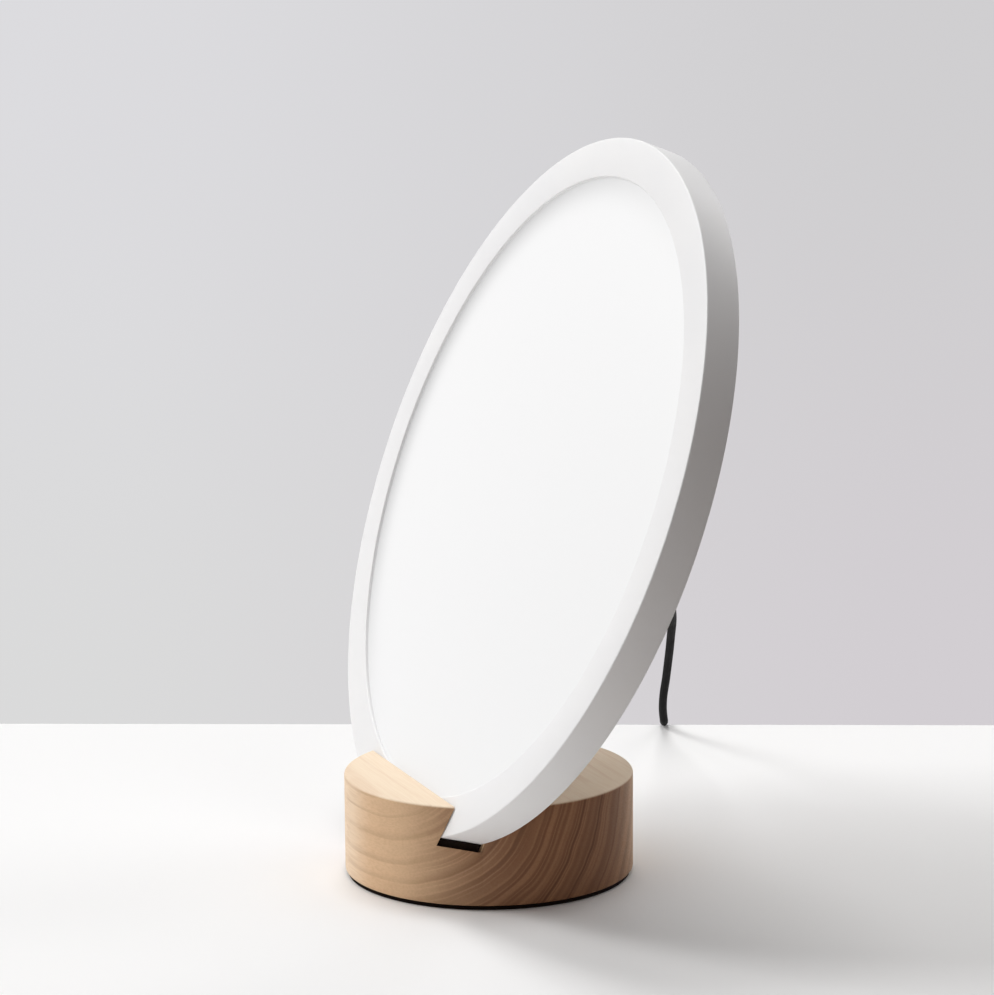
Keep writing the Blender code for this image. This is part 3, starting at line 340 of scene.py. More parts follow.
def smooth_path(points, spacing):
    """Points at an even spacing on one smooth curve through the route's points."""
    points = [Vector(p) for p in points]
    knots = [0.0]
    for a, b in zip(points, points[1:]):
        knots.append(knots[-1] + (b - a).length)
    slopes = []
    for i in range(len(points)):
        low, high = max(i - 1, 0), min(i + 1, len(points) - 1)
        slopes.append((points[high] - points[low]) / (knots[high] - knots[low]))
    fine = []
    for i in range(len(points) - 1):
        span = knots[i + 1] - knots[i]
        steps = max(4, round(12 * span / spacing))
        for k in range(steps):
            t = k / steps
            fine.append(
                points[i] * (2 * t**3 - 3 * t**2 + 1)
                + slopes[i] * span * (t**3 - 2 * t**2 + t)
                + points[i + 1] * (3 * t**2 - 2 * t**3)
                + slopes[i + 1] * span * (t**3 - t**2)
            )
    fine.append(points[-1])
    return resampled(fine, spacing)


def resampled(fine, spacing):
    """The same line with points at an even spacing."""
    lengths = [0.0]
    for a, b in zip(fine, fine[1:]):
        lengths.append(lengths[-1] + (b - a).length)
    count = max(2, round(lengths[-1] / spacing))
    even, j = [], 0
    for k in range(count + 1):
        want = lengths[-1] * k / count
        while j < len(fine) - 2 and lengths[j + 1] < want:
            j += 1
        t = (want - lengths[j]) / (lengths[j + 1] - lengths[j])
        even.append(fine[j].lerp(fine[j + 1], t))
    return even


def heading(turn=0.0):
    """Unit vector on the desk, turned from the way the coil's lead runs."""
    return Vector((math.cos(COIL_HEADING + turn), math.sin(COIL_HEADING + turn), 0))


lead_end = Vector((*COIL_START, 0)) + heading() * LEAD_LENGTH
COIL_CENTRE = lead_end + heading(math.pi / 2) * COIL_RADIUS


def coil_line():
    """The coil's centreline: a straight lead, four piled spirals and a straight tail."""
    level = CORD_RADIUS + DESK_GAP
    bottom = level + COIL_LIFT
    first = Vector((*COIL_START, level)) + heading() * LEAD_GAP
    line = [first, first + heading() * 2 * CORD_RADIUS]
    start = Vector((*COIL_START, level)) + heading() * LEAD_LENGTH
    for i in range(1, STRAIGHT_PARTS):
        share = i / STRAIGHT_PARTS
        rise = (bottom - level) * (3 * share**2 - 2 * share**3)
        line.append(line[1].lerp(start, share) + UPRIGHT * rise)
    turns_each = LAYER_TURNS + CLIMB_TURNS
    total = COIL_LAYERS * turns_each - CLIMB_TURNS
    count = round(total * POINTS_PER_TURN)
    for k in range(count + 1):
        turn = total * k / count
        layer = min(int(turn / turns_each), COIL_LAYERS - 1)
        into = turn - layer * turns_each
        share = min(into / LAYER_TURNS, 1)
        climb = max(0, into - LAYER_TURNS) / CLIMB_TURNS
        inwards = share if layer % 2 == 0 else 1 - share
        radius = COIL_RADIUS - COIL_PITCH * LAYER_TURNS * inwards
        angle = COIL_HEADING - math.pi / 2 + turn * math.tau
        flat = Vector((math.cos(angle), math.sin(angle), 0)) * radius
        line.append(COIL_CENTRE + flat + UPRIGHT * (bottom + COIL_PITCH * (layer + climb)))
    away = heading(total * math.tau)
    end = line[-1]
    straight = range(1, STRAIGHT_PARTS + 1)
    line += [end + away * TAIL_LENGTH * i / STRAIGHT_PARTS for i in straight]
    return line, away


def mesh_tube(name, line, radius, resolution):
    """A round cord along a line, with filled ends, made a mesh."""
    curve = bpy.data.curves.new(name, "CURVE")
    curve.dimensions = "3D"
    curve.bevel_depth = radius
    curve.bevel_resolution = resolution
    curve.use_fill_caps = True
    spline = curve.splines.new("POLY")
    spline.points.add(len(line) - 1)
    for point, place in zip(spline.points, line):
        point.co = (*place, 1)
    tube = bpy.data.objects.new(name, curve)
    bpy.context.scene.collection.objects.link(tube)
    bpy.ops.object.select_all(action="DESELECT")
    tube.select_set(True)
    bpy.context.view_layer.objects.active = tube
    bpy.ops.object.convert(target="MESH")
    tube = bpy.context.object
    tube.data.shade_smooth()
    tube.data.set_sharp_from_angle(angle=math.radians(50))
    return tube


cord_exit = PANEL @ Vector((0, OUTLET_HEIGHT, EXIT_LEVEL))
leaving = (PANEL.to_3x3() @ Vector((0, 0, -1))).normalized()
coil_start = Vector((*COIL_START, CORD_RADIUS + DESK_GAP))
route = [cord_exit, cord_exit + leaving * 2 * CORD_RADIUS] + CORD_ROUTE
route += [coil_start - heading() * 2 * CORD_RADIUS, coil_start]
coil, tail_heading = coil_line()
cord_line = smooth_path(route, ROUTE_SPACING) + coil
cord_end = coil[-1]
cord = mesh_tube("cord", cord_line, CORD_RADIUS, 4)
sheath, shader, made = finish("cord_sheath", (0.007, 0.0065, 0.0065), 0.6)
shader.inputs["Specular IOR Level"].default_value = 0.04
worn = speckle(made, 160.0, 3.0)
worn.steps(0.3, 0.75, 0.54, 0.68).into(shader, "Roughness")
sheath_tint = worn.steps(0.3, 0.8).tint((0.006, 0.0055, 0.0055), (0.010, 0.0095, 0.0095))
sheath_tint.into(shader, "Base Color")
bump(made, shader, speckle(made, 900.0), 0.15, 0.0002)
cord.data.materials.append(sheath)
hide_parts("cord_drop", "cord_coil")


# Coil tie: one strap of hook-and-loop tape, closed round all the coil's turns. It is made from
# a box without ends, its corners rounded and its wall then given a thickness.
TIE_WIDTH, TIE_THICKNESS, TIE_BOTTOM = 0.008, 0.0006, 0.0008
TIE_ROUNDING, TIE_TURN = 0.003, 0.62 * math.tau
GAP_INSIDE, GAP_OUTSIDE, GAP_ABOVE = 0.0013, 0.0004, 0.0008
BUNDLE_IN = COIL_RADIUS - COIL_PITCH * LAYER_TURNS - CORD_RADIUS - GAP_INSIDE
BUNDLE_OUT = COIL_RADIUS + CORD_RADIUS + GAP_OUTSIDE
BUNDLE_TOP = TIE_BOTTOM + GAP_ABOVE + 2 * CORD_RADIUS + (COIL_LAYERS - 1) * COIL_PITCH


def begin(primitive, name, **settings):
    """Adds a primitive with nothing else selected, opens it for editing, and names it."""
    bpy.ops.object.select_all(action="DESELECT")
    primitive(**settings)
    piece = bpy.context.object
    piece.name = name
    bpy.ops.object.mode_set(mode="EDIT")
    bpy.ops.mesh.select_mode(type="VERT")
    bpy.ops.mesh.select_all(action="SELECT")
    return piece


def pick(piece, kind, test):
    """In edit mode, selects the vertices, edges or faces that pass a test, and no others."""
    modes = {"verts": "VERT", "edges": "EDGE", "faces": "FACE"}
    bpy.ops.mesh.select_mode(type=modes[kind])
    bpy.ops.mesh.select_all(action="DESELECT")
    mesh = bmesh.from_edit_mesh(piece.data)
    for item in getattr(mesh, kind):
        if test(item):
            item.select_set(True)
    mesh.select_flush_mode()
    bmesh.update_edit_mesh(piece.data)


def settle(piece, place=None, angle=35):
    """Leaves edit mode, puts the piece in its place for good and shades it smooth."""
    if bpy.context.mode != "OBJECT":
        bpy.ops.mesh.select_all(action="SELECT")
        bpy.ops.mesh.normals_make_consistent(inside=False)
        bpy.ops.object.mode_set(mode="OBJECT")
    bpy.ops.object.select_all(action="DESELECT")
    piece.select_set(True)
    bpy.context.view_layer.objects.active = piece
    if place is not None:
        piece.matrix_world = place @ piece.matrix_world
    bpy.ops.object.transform_apply(location=True, rotation=True, scale=True)
    bpy.ops.object.shade_smooth_by_angle(angle=math.radians(angle))
    return piece


def apply(piece, kind, **settings):
    """Adds a modifier and applies it."""
    added = piece.modifiers.new("shaping", kind)
    for key, value in settings.items():
        setattr(added, key, value)
    bpy.ops.object.select_all(action="DESELECT")
    piece.select_set(True)
    bpy.context.view_layer.objects.active = piece
    bpy.ops.object.modifier_apply(modifier=added.name)


tie = begin(
    bpy.ops.mesh.primitive_cube_add,
    "tie",
    size=1,
    location=((BUNDLE_IN + BUNDLE_OUT) / 2, 0, (TIE_BOTTOM + BUNDLE_TOP) / 2),
    scale=(BUNDLE_OUT - BUNDLE_IN, TIE_WIDTH, BUNDLE_TOP - TIE_BOTTOM),
)
pick(tie, "faces", lambda f: abs(f.normal.y) > 0.9)
bpy.ops.mesh.delete(type="FACE")
pick(tie, "edges", lambda e: abs((e.verts[0].co - e.verts[1].co).normalized().y) > 0.9)
bpy.ops.mesh.bevel(offset=TIE_ROUNDING, segments=6, affect="EDGES")
bpy.ops.mesh.select_all(action="SELECT")
bpy.ops.mesh.normals_make_consistent(inside=False)
bpy.ops.object.mode_set(mode="OBJECT")
apply(tie, "SUBSURF", levels=1, render_levels=1, subdivision_type="SIMPLE")
apply(tie, "SOLIDIFY", thickness=TIE_THICKNESS, offset=1.0)
apply(tie, "BEVEL", width=TIE_THICKNESS / 4, segments=2, limit_method="ANGLE")
tie_turn = Matrix.Rotation(COIL_HEADING + TIE_TURN, 4, "Z")
settle(tie, Matrix.Translation(COIL_CENTRE) @ tie_turn)
strap, shader, made = finish("tie_strap", (0.03, 0.03, 0.032), 0.85)
loops = speckle(made, 1500.0, 3.0)
loops.steps(0.35, 0.7).tint((0.016, 0.016, 0.017), (0.06, 0.06, 0.064)).into(shader, "Base Color")
bump(made, shader, loops, 0.6, 0.0003)
tie.data.materials.append(strap)
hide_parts("coil_tie")
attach(tie, "base")


# Wall adapter: two moulded shells with a parting line, two flat blades and a ribbed sleeve
# where the cord goes in. It lies on its side beside the coil.
ADAPTER = Matrix.Translation((cord_end.x, cord_end.y, 0)) @ Matrix.Rotation(
    math.atan2(tail_heading.y, tail_heading.x), 4, "Z"
)
ADAPTER_LEVEL = cord_end.z
SHELL_START, SHELL_LENGTH, SHELL_HEIGHT = 0.0143, 0.062, 0.036
SHELL_CORNER, SHELL_EDGE, PARTING_EDGE = 0.005, 0.0015, 0.0003
PARTING, PARTING_GAP = -0.003, 0.00015
FRONT_DEPTH, BACK_DEPTH = 0.01115, 0.01715
moulding, shader, made = finish("adapter_moulding", (0.022, 0.022, 0.023), 0.5)
speckle(made, 40.0).steps(0.3, 0.7, 0.44, 0.56).into(shader, "Roughness")
bump(made, shader, speckle(made, 2200.0), 0.35, 0.0002)


def adapter_shell(name, low, high, node):
    """One half of the adapter's housing, its outer rim and corners rounded."""
    shell = begin(
        bpy.ops.mesh.primitive_cube_add,
        name,
        size=1,
        location=(SHELL_START + SHELL_LENGTH / 2, (low + high) / 2, ADAPTER_LEVEL),
        scale=(SHELL_LENGTH, high - low, SHELL_HEIGHT),
    )
    bpy.ops.object.mode_set(mode="OBJECT")
    bpy.ops.object.transform_apply(location=True, rotation=True, scale=True)
    bpy.ops.object.mode_set(mode="EDIT")
    pick(shell, "edges", lambda e: abs((e.verts[0].co - e.verts[1].co).normalized().y) > 0.9)
    bpy.ops.mesh.bevel(offset=SHELL_CORNER, segments=8, affect="EDGES")
    outside = low if abs(low) > abs(high) else high
    pick(shell, "edges", lambda e: all(abs(v.co.y - outside) < 1e-5 for v in e.verts))
    bpy.ops.mesh.bevel(offset=SHELL_EDGE, segments=5, affect="EDGES")
    inside = low + high - outside
    pick(shell, "edges", lambda e: all(abs(v.co.y - inside) < 1e-5 for v in e.verts))
    bpy.ops.mesh.bevel(offset=PARTING_EDGE, segments=1, affect="EDGES")
    settle(shell, ADAPTER)
    shell.data.materials.append(moulding)
    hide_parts(node)
    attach(shell, "base")
    return shell


front_shell = adapter_shell(
    "adapter_front_shell", PARTING - FRONT_DEPTH, PARTING - PARTING_GAP, "adapter_front"
)
back_shell = adapter_shell(
    "adapter_back_shell", PARTING + PARTING_GAP, PARTING + BACK_DEPTH, "adapter_back"
)
blade_metal, shader, made = finish("blade_plating", (0.72, 0.69, 0.60), 0.28, 1.0)
brushed = speckle(made, 600.0, 2.0, (1.0, 1.0, 0.05))
brushed.steps(0.3, 0.7, 0.2, 0.38).into(shader, "Roughness")
blades = [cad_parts[name] for name in ("adapter_blade_1", "adapter_blade_2")]
for blade in blades:
    blade.data.materials.clear()
    blade.data.materials.append(blade_metal)


# A rounding reaches at most this share of the way to the next corner.
EASED_SHARE = 0.49


def eased(corners, steps=3, closed=False):
    """A profile with rounded corners, from corners of (radius, height, rounding)."""
    points, count = [], len(corners)
    for i, (radius, height, rounding) in enumerate(corners):
        corner = Vector((radius, height))
        if rounding == 0 or (not closed and i in (0, count - 1)):
            points.append(corner)
            continue
        before = Vector(corners[i - 1][:2]) - corner
        after = Vector(corners[(i + 1) % count][:2]) - corner
        reach = min(rounding, before.length * EASED_SHARE, after.length * EASED_SHARE)
        first = corner + before.normalized() * reach
        last = corner + after.normalized() * reach
        for k in range(steps + 1):
            t = k / steps
            points.append(first * (1 - t) ** 2 + corner * 2 * t * (1 - t) + last * t**2)
    return points


def turned(name, profile, steps, place=None, closed=False):
    """A profile drawn by extruding one point, then spun round the upright axis."""
    piece = begin(bpy.ops.mesh.primitive_plane_add, name, size=0.001, location=(0, 0, 0))
    bpy.ops.mesh.select_all(action="SELECT")
    bpy.ops.mesh.merge(type="CENTER")
    bpy.ops.transform.translate(value=(profile[0][0], 0, profile[0][1]))
    for a, b in zip(profile, profile[1:]):
        move = {"value": (b[0] - a[0], 0, b[1] - a[1])}
        bpy.ops.mesh.extrude_region_move(TRANSFORM_OT_translate=move)
    if closed:
        ends = [Vector((radius, 0, level)) for radius, level in (profile[0], profile[-1])]
        pick(piece, "verts", lambda v: any((v.co - end).length < 1e-6 for end in ends))
        bpy.ops.mesh.edge_face_add()
    bpy.ops.mesh.select_all(action="SELECT")
    bpy.ops.mesh.spin(steps=steps, angle=math.tau, center=(0, 0, 0), axis=(0, 0, 1))
    bpy.ops.mesh.select_all(action="SELECT")
    bpy.ops.mesh.remove_doubles(threshold=0.00001)
    return settle(piece, place)


SLEEVE_TIP_RADIUS, SLEEVE_COLLAR = 0.0029, 0.003
GROOVE_HALF, GROOVE_FLOOR_HALF, GROOVE_DEPTH = 0.0008, 0.0007, 0.0007
GROOVE = (
    (-GROOVE_HALF, 0),
    (-GROOVE_FLOOR_HALF, GROOVE_DEPTH),
    (GROOVE_FLOOR_HALF, GROOVE_DEPTH),
    (GROOVE_HALF, 0),
)
STUB_LENGTH, STUB_RADIUS = 0.014, 0.0042


def sleeve_profile(length, root_radius, grooves):
    """Half outline of a tapered sleeve that points up from its root, with sunk grooves."""
    outline = [(0, 0, 0), (root_radius, 0, 0.0002), (root_radius, SLEEVE_COLLAR, 0.0003)]
    pitch = (length - SLEEVE_COLLAR) / (grooves + 1)
    for i in range(grooves):
        middle = SLEEVE_COLLAR + pitch * (i + 1)
        for along, cut in GROOVE:
            share = (middle + along - SLEEVE_COLLAR) / (length - SLEEVE_COLLAR)
            radius = root_radius + (SLEEVE_TIP_RADIUS - root_radius) * share
            outline.append((radius - cut, middle + along, 0.0002))
    return outline + [(SLEEVE_TIP_RADIUS, length, 0.0003), (0, length, 0)]


sleeve_rubber, shader, made = finish("sleeve_rubber", (0.02, 0.02, 0.02), 0.6)
speckle(made, 300.0).steps(0.3, 0.7, 0.52, 0.68).into(shader, "Roughness")
bump(made, shader, speckle(made, 1800.0), 0.2, 0.0002)
stub_place = Matrix.Translation((STUB_LENGTH, 0, ADAPTER_LEVEL))
adapter_sleeve = turned(
    "adapter_sleeve",
    eased(sleeve_profile(STUB_LENGTH, STUB_RADIUS, 3)),
    48,
    ADAPTER @ stub_place @ Matrix.Rotation(-math.pi / 2, 4, "Y"),
)
adapter_sleeve.data.materials.append(sleeve_rubber)
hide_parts("adapter_relief")
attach(adapter_sleeve, "base")
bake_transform(cord)


# Base: one block of pale softwood, turned to a cylinder, its rim rounded over and a slanted
# slot milled across it. The fibre runs along the slot, so the rings show on the sides where the
# slot comes out. They are counted in millimetres from the tree's middle, outside the block.
WOOD_LOW, WOOD_HIGH, BASE_RADIUS, WOOD_ROUNDING = 0.0018, 0.0428, 0.0603, 0.001
SLOT_RADIUS, SLOT_WIDTH, SLOT_MIDDLE, SLOT_EDGE = 0.1535, 0.0155, -0.00735, 0.0003
TREE_MIDDLE_Y, TREE_MIDDLE_Z = -57, 62
TOP_FADE, SIDE_FADE, END_FADE = (0.0419, 0.0427), (0.0588, 0.0600), (0.020, 0.060)
block = begin(
    bpy.ops.mesh.primitive_cylinder_add,
    "wood_base",
    vertices=256,
    radius=BASE_RADIUS,
    depth=WOOD_HIGH - WOOD_LOW,
    location=(0, 0, (WOOD_LOW + WOOD_HIGH) / 2),
)
bpy.ops.object.mode_set(mode="OBJECT")
bpy.ops.object.transform_apply(location=True, rotation=True, scale=True)
bpy.ops.object.mode_set(mode="EDIT")
for level in (WOOD_HIGH, WOOD_LOW):
    pick(block, "edges", lambda e: all(abs(v.co.z - level) < 1e-5 for v in e.verts))
    bpy.ops.mesh.bevel(offset=WOOD_ROUNDING, segments=4, affect="EDGES")
bpy.ops.object.mode_set(mode="OBJECT")
cutter = begin(
    bpy.ops.mesh.primitive_cylinder_add,
    "slot_tool",
    vertices=512,
    radius=SLOT_RADIUS,
    depth=SLOT_WIDTH,
    location=(0, 0, SLOT_MIDDLE),
)
settle(cutter, PANEL)
apply(block, "BOOLEAN", operation="DIFFERENCE", object=cutter, solver="EXACT")
bpy.data.objects.remove(cutter)
corner_angle = math.radians(50)
apply(block, "BEVEL", width=SLOT_EDGE, segments=2, limit_method="ANGLE", angle_limit=corner_angle)
settle(block, None, 40)
wood, shader, made = finish("pale_wood", (0.62, 0.45, 0.30), 0.5)
shader.inputs["Specular IOR Level"].default_value = 0.3
place = made.place()
stretched = made.node("Mapping", None, {"Vector": place, "Scale": (9.0, 30.0, 30.0)})
bend = made.node("TexNoise", None, {"Vector": stretched, "Scale": 1.0, "Detail": 2.0}, "Color")
warped = made.vectors("MULTIPLY_ADD", bend, (0.0, 0.006, 0.006), place)
across = warped.axis("Y") * 1000 - TREE_MIDDLE_Y
upward = warped.axis("Z") * 1000 - TREE_MIDDLE_Z
ring_radius = made.maths("SQRT", across * across + upward * upward)


def along_radius(scale, detail):
    """Noise that changes only with the distance from the tree's middle."""
    values = {"W": ring_radius * scale, "Scale": 1.0, "Detail": detail}
    return made.node("TexNoise", {"noise_dimensions": "1D"}, values)


year = made.maths("FRACT", ring_radius * 0.12 + along_radius(0.055, 1.0) * 1.7)
late_edge = year.steps(0.58, 0.90) * (1 - year.steps(0.93, 1.0))
late_band = year.steps(0.10, 0.70) * (1 - year.steps(0.84, 1.0))
pore_row = made.maths("FRACT", ring_radius * 0.40 + along_radius(0.16, 1.0) * 2.6)
pale_line = pore_row.steps(0.45, 0.72) * (1 - pore_row.steps(0.78, 1.0))
fibre = speckle(made, 1.0, 4.0, (60.0, 1500.0, 1500.0))
streak = speckle(made, 1.0, 3.0, (14.0, 260.0, 260.0))
patch = speckle(made, 34.0, 1.0).steps(0.36, 0.56, 0.25, 1.0)
x, y, z = (place.axis(letter) for letter in "XYZ")
from_axis = made.maths("SQRT", x * x + y * y)
on_top = z.steps(*TOP_FADE)
turned_side = from_axis.steps(*SIDE_FADE) * (1 - on_top)
# End grain: darker partly for real, as cut ends take up the finish, and partly as painted shade.
end_grain_and_shade = turned_side * made.maths("ABSOLUTE", x * 0.985 + y * 0.174).steps(*END_FADE)
long_grain = late_edge * patch * on_top.steps(0, 1, 0.31, 0.30) + (streak - 0.5) * 0.26 + 0.09
fine_rings = (along_radius(0.30, 3.0) - 0.5) * 1.1 - pale_line * patch * 0.55
cut_ends_and_shade = late_band * 0.30 + fine_rings + 0.42
darkness = long_grain + (cut_ends_and_shade - long_grain) * end_grain_and_shade
# Painted light and shade: the side is paler towards the windows at -x and darker towards +x, and
# the top is paler than the sides.
side_lit_and_shaded = x.steps(-0.002, 0.018).tint((0.89, 0.69, 0.49), (0.81, 0.555, 0.34))
pale_with_lit_top = on_top.tint(side_lit_and_shaded, (0.85, 0.705, 0.53))
dark_with_lit_top = on_top.tint((0.47, 0.28, 0.15), (0.68, 0.47, 0.32))
pale = end_grain_and_shade.tint(pale_with_lit_top, (0.35, 0.168, 0.082))
dark = end_grain_and_shade.tint(dark_with_lit_top, (0.145, 0.058, 0.024))
base_tint = darkness.tint(pale, dark)
fine_tint = (fibre.steps(0.35, 0.75) * 0.2).tint(base_tint, dark)
fine_tint.into(shader, "Base Color")
fibre.steps(0.3, 0.7, 0.44, 0.6).into(shader, "Roughness")
bump(made, shader, fibre * 0.6 + late_edge * 0.4, 0.12, 0.0003)
block.data.materials.append(wood)
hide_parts("base_block")
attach(block, "base")


# Pad and slot liner: thin black rubber sheet, glued under the wood and round the slot's floor,
# where the panel's rim stands on it.
PAD_RADIUS, PAD_THICKNESS, PAD_ROUNDING = 0.0591, 0.0015, 0.0003


def disc_profile(radius, first, last, first_rounding, last_rounding):
    """Half outline of a flat disc, from one face's level to the other's, its edges rounded."""
    corners = [(0, first, 0), (radius, first, first_rounding)]
    return eased(corners + [(radius, last, last_rounding), (0, last, 0)])


pad = turned(
    "anti_slip_pad", disc_profile(PAD_RADIUS, 0, PAD_THICKNESS, PAD_ROUNDING, PAD_ROUNDING), 192
)
rubber, shader, made = finish("matt_rubber", (0.012, 0.009, 0.008), 0.85)
shader.inputs["Specular IOR Level"].default_value = 0.10
pores = speckle(made, 1400.0, 3.0)
rubber_tint = pores.steps(0.35, 0.7).tint((0.006, 0.003, 0.002), (0.011, 0.006, 0.004))
rubber_tint.into(shader, "Base Color")
bump(made, shader, pores, 0.5, 0.0003)
pad.data.materials.append(rubber)
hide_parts("base_pad")
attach(pad, "base")
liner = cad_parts["slot_liner"]
liner.data.materials.clear()
liner.data.materials.append(rubber)


# Front frame: a white moulded ring with a flat bezel, a crisp inner edge and a plain rim whose
# edges are just broken. The screws' bosses stay with the moulding behind it.
PANEL_RADIUS, OPENING_RADIUS, RIM_INSIDE = 0.150, 0.133, 0.1482
BEZEL_BACK, PANEL_BACK = -0.0014, -0.0147
white, shader, made = finish("white_moulding", (0.86, 0.86, 0.86), 0.45)
clouds = speckle(made, 18.0)
white_tint = clouds.steps(0.3, 0.7).tint((0.876, 0.878, 0.886), (0.890, 0.890, 0.892))
white_tint.into(shader, "Base Color")
clouds.steps(0.3, 0.7, 0.42, 0.5).into(shader, "Roughness")
bump(made, shader, speckle(made, 2600.0), 0.08, 0.0001)
frame_corners = [
    (OPENING_RADIUS, BEZEL_BACK, 0.0001),
    (OPENING_RADIUS, 0, 0.0005),
    (PANEL_RADIUS, 0, 0.0007),
    (PANEL_RADIUS, PANEL_BACK, 0.0007),
    (RIM_INSIDE, PANEL_BACK, 0.0002),
    (RIM_INSIDE, BEZEL_BACK, 0.0002),
]
ring = turned("bezel_and_rim", eased(frame_corners, 4, True), 320, PANEL, True)
ring.data.materials.append(white)
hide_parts("front_frame")
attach(ring, "panel")


# Diffuser: an opal sheet laid in from behind, lit evenly, with a soft shade by the bezel's edge
# on its upper left.
SHEET_RADIUS, SHEET_FRONT, SHEET_BACK, SHEET_ROUNDING = 0.137, -0.0017, -0.0037, 0.0003
diffuser = turned(
    "opal_sheet",
    disc_profile(SHEET_RADIUS, SHEET_BACK, SHEET_FRONT, SHEET_ROUNDING, SHEET_ROUNDING),
    256,
    PANEL,
)
opal, shader, made = finish("lit_opal", (0.15, 0.15, 0.15), 0.4)
from_middle = made.vectors("SUBTRACT", made.place(), PANEL.translation)
reach = made.vectors("LENGTH", from_middle)
upper_left = PANEL.to_3x3() @ Vector((-0.866, 0.5, 0))
to_upper_left = made.vectors("DOT_PRODUCT", from_middle, upper_left)
edge_shade = reach.steps(0.100, 0.1335) ** 3 * to_upper_left.steps(-0.066, 0.133)
inner = 1 - edge_shade * 0.38
shader.inputs["Emission Strength"].default_value = 0.70
inner.steps(0.0, 1.0).tint((0.0, 0.0, 0.0), (1.0, 1.0, 1.0)).into(shader, "Emission Color")
diffuser.data.materials.append(opal)
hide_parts("diffuser")
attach(diffuser, "panel")


# Rear cover: a flat white disc set just inside the rim, with countersunk screws round it, a
# button hole and the cord's outlet.
COVER_RADIUS, COVER_INSIDE, COVER_OUTSIDE = 0.1479, -0.013, -0.0145
CUT_OUTSIDE, CUT_INSIDE = -0.016, -0.012
OUTLET_RADIUS = 0.0034
BUTTON_HEIGHT, BUTTON_MOUTH, BUTTON_HOLE = 0.012, 0.0066, 0.0060
MOUTH_LEVEL, HOLE_LEVEL = -0.0146, -0.0141
SCREWS, SCREW_CIRCLE = 8, 0.1445
SINK_MOUTH, SINK_HOLE = 0.0026, 0.0015
HEAD_EDGE, HEAD_ROOT = -0.0143, -0.0132
cover_profile = disc_profile(COVER_RADIUS, COVER_INSIDE, COVER_OUTSIDE, 0.0002, 0.0003)
cover = turned("back_cover", cover_profile, 320)
screw_places = [
    Vector((SCREW_CIRCLE * math.cos(a), SCREW_CIRCLE * math.sin(a), 0))
    for a in [math.tau / SCREWS * (i + 0.5) for i in range(SCREWS)]
]


def sunk_tool(name, place, mouth, hole, steps):
    """A turned cutter at a place on the cover, with a mouth outside that narrows to a hole."""
    outline = [(0, CUT_OUTSIDE), (mouth[0], CUT_OUTSIDE), mouth, hole, (hole[0], CUT_INSIDE)]
    return turned(name, outline + [(0, CUT_INSIDE)], steps, Matrix.Translation(place))


outlet_bore = [(0, CUT_OUTSIDE), (OUTLET_RADIUS, CUT_OUTSIDE)]
outlet_bore += [(OUTLET_RADIUS, CUT_INSIDE), (0, CUT_INSIDE)]
outlet_place = Vector((0, OUTLET_HEIGHT, 0))
button_place = Vector((0, BUTTON_HEIGHT, 0))
button_mouth, button_hole = (BUTTON_MOUTH, MOUTH_LEVEL), (BUTTON_HOLE, HOLE_LEVEL)
sink_mouth, sink_hole = (SINK_MOUTH, HEAD_EDGE), (SINK_HOLE, HEAD_ROOT)
cuts = [turned("outlet_tool", outlet_bore, 48, Matrix.Translation(outlet_place))]
cuts.append(sunk_tool("button_tool", button_place, button_mouth, button_hole, 64))
for place in screw_places:
    cuts.append(sunk_tool("sink_tool", place, sink_mouth, sink_hole, 32))
for cutter in cuts:
    apply(cover, "BOOLEAN", operation="DIFFERENCE", object=cutter, solver="EXACT")
    bpy.data.objects.remove(cutter)
settle(cover, PANEL)
cover.data.materials.append(white)
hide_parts("rear_cover")
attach(cover, "panel")


# Cover screws: eight plated countersunk screws with a cross recess, driven from behind into the
# frame's bosses. One is made and copied, each copy turned a little further.
HEAD_RADIUS, SHANK_RADIUS = 0.0023, 0.0012
TIP_EDGE, SCREW_TIP = -0.0076, -0.0070
RECESS_LONG, RECESS_WIDE, RECESS_TALL = 0.0026, 0.0006, 0.0012
SCREW_TURN = 1.1
plated, shader, made = finish("plated_steel", (0.62, 0.62, 0.63), 0.3, 1.0)
speckle(made, 900.0).steps(0.3, 0.7, 0.22, 0.4).into(shader, "Roughness")
screw_corners = [
    (0, COVER_OUTSIDE, 0),
    (HEAD_RADIUS, COVER_OUTSIDE, 0.0001),
    (HEAD_RADIUS, HEAD_EDGE, 0.0001),
    (SHANK_RADIUS, HEAD_ROOT, 0),
    (SHANK_RADIUS, TIP_EDGE, 0),
    (0, SCREW_TIP, 0),
]
first_screw = turned("screw_master", eased(screw_corners, 2), 32)
for across, upward in ((RECESS_LONG, RECESS_WIDE), (RECESS_WIDE, RECESS_LONG)):
    slot_tool = begin(
        bpy.ops.mesh.primitive_cube_add,
        "cross_tool",
        size=1,
        location=(0, 0, COVER_OUTSIDE),
        scale=(across, upward, RECESS_TALL),
    )
    settle(slot_tool)
    apply(first_screw, "BOOLEAN", operation="DIFFERENCE", object=slot_tool, solver="EXACT")
    bpy.data.objects.remove(slot_tool)
first_screw.data.materials.append(plated)
for number, place in enumerate(screw_places, 1):
    screw = bpy.data.objects.new(f"screw_{number}", first_screw.data.copy())
    bpy.context.scene.collection.objects.link(screw)
    screw_turn = Matrix.Rotation(number * SCREW_TURN, 4, "Z")
    screw.matrix_world = Matrix.Translation(place) @ screw_turn
    settle(screw, PANEL, 30)
    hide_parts(f"cover_screw_{number}")
    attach(screw, "panel")
bpy.data.objects.remove(first_screw)


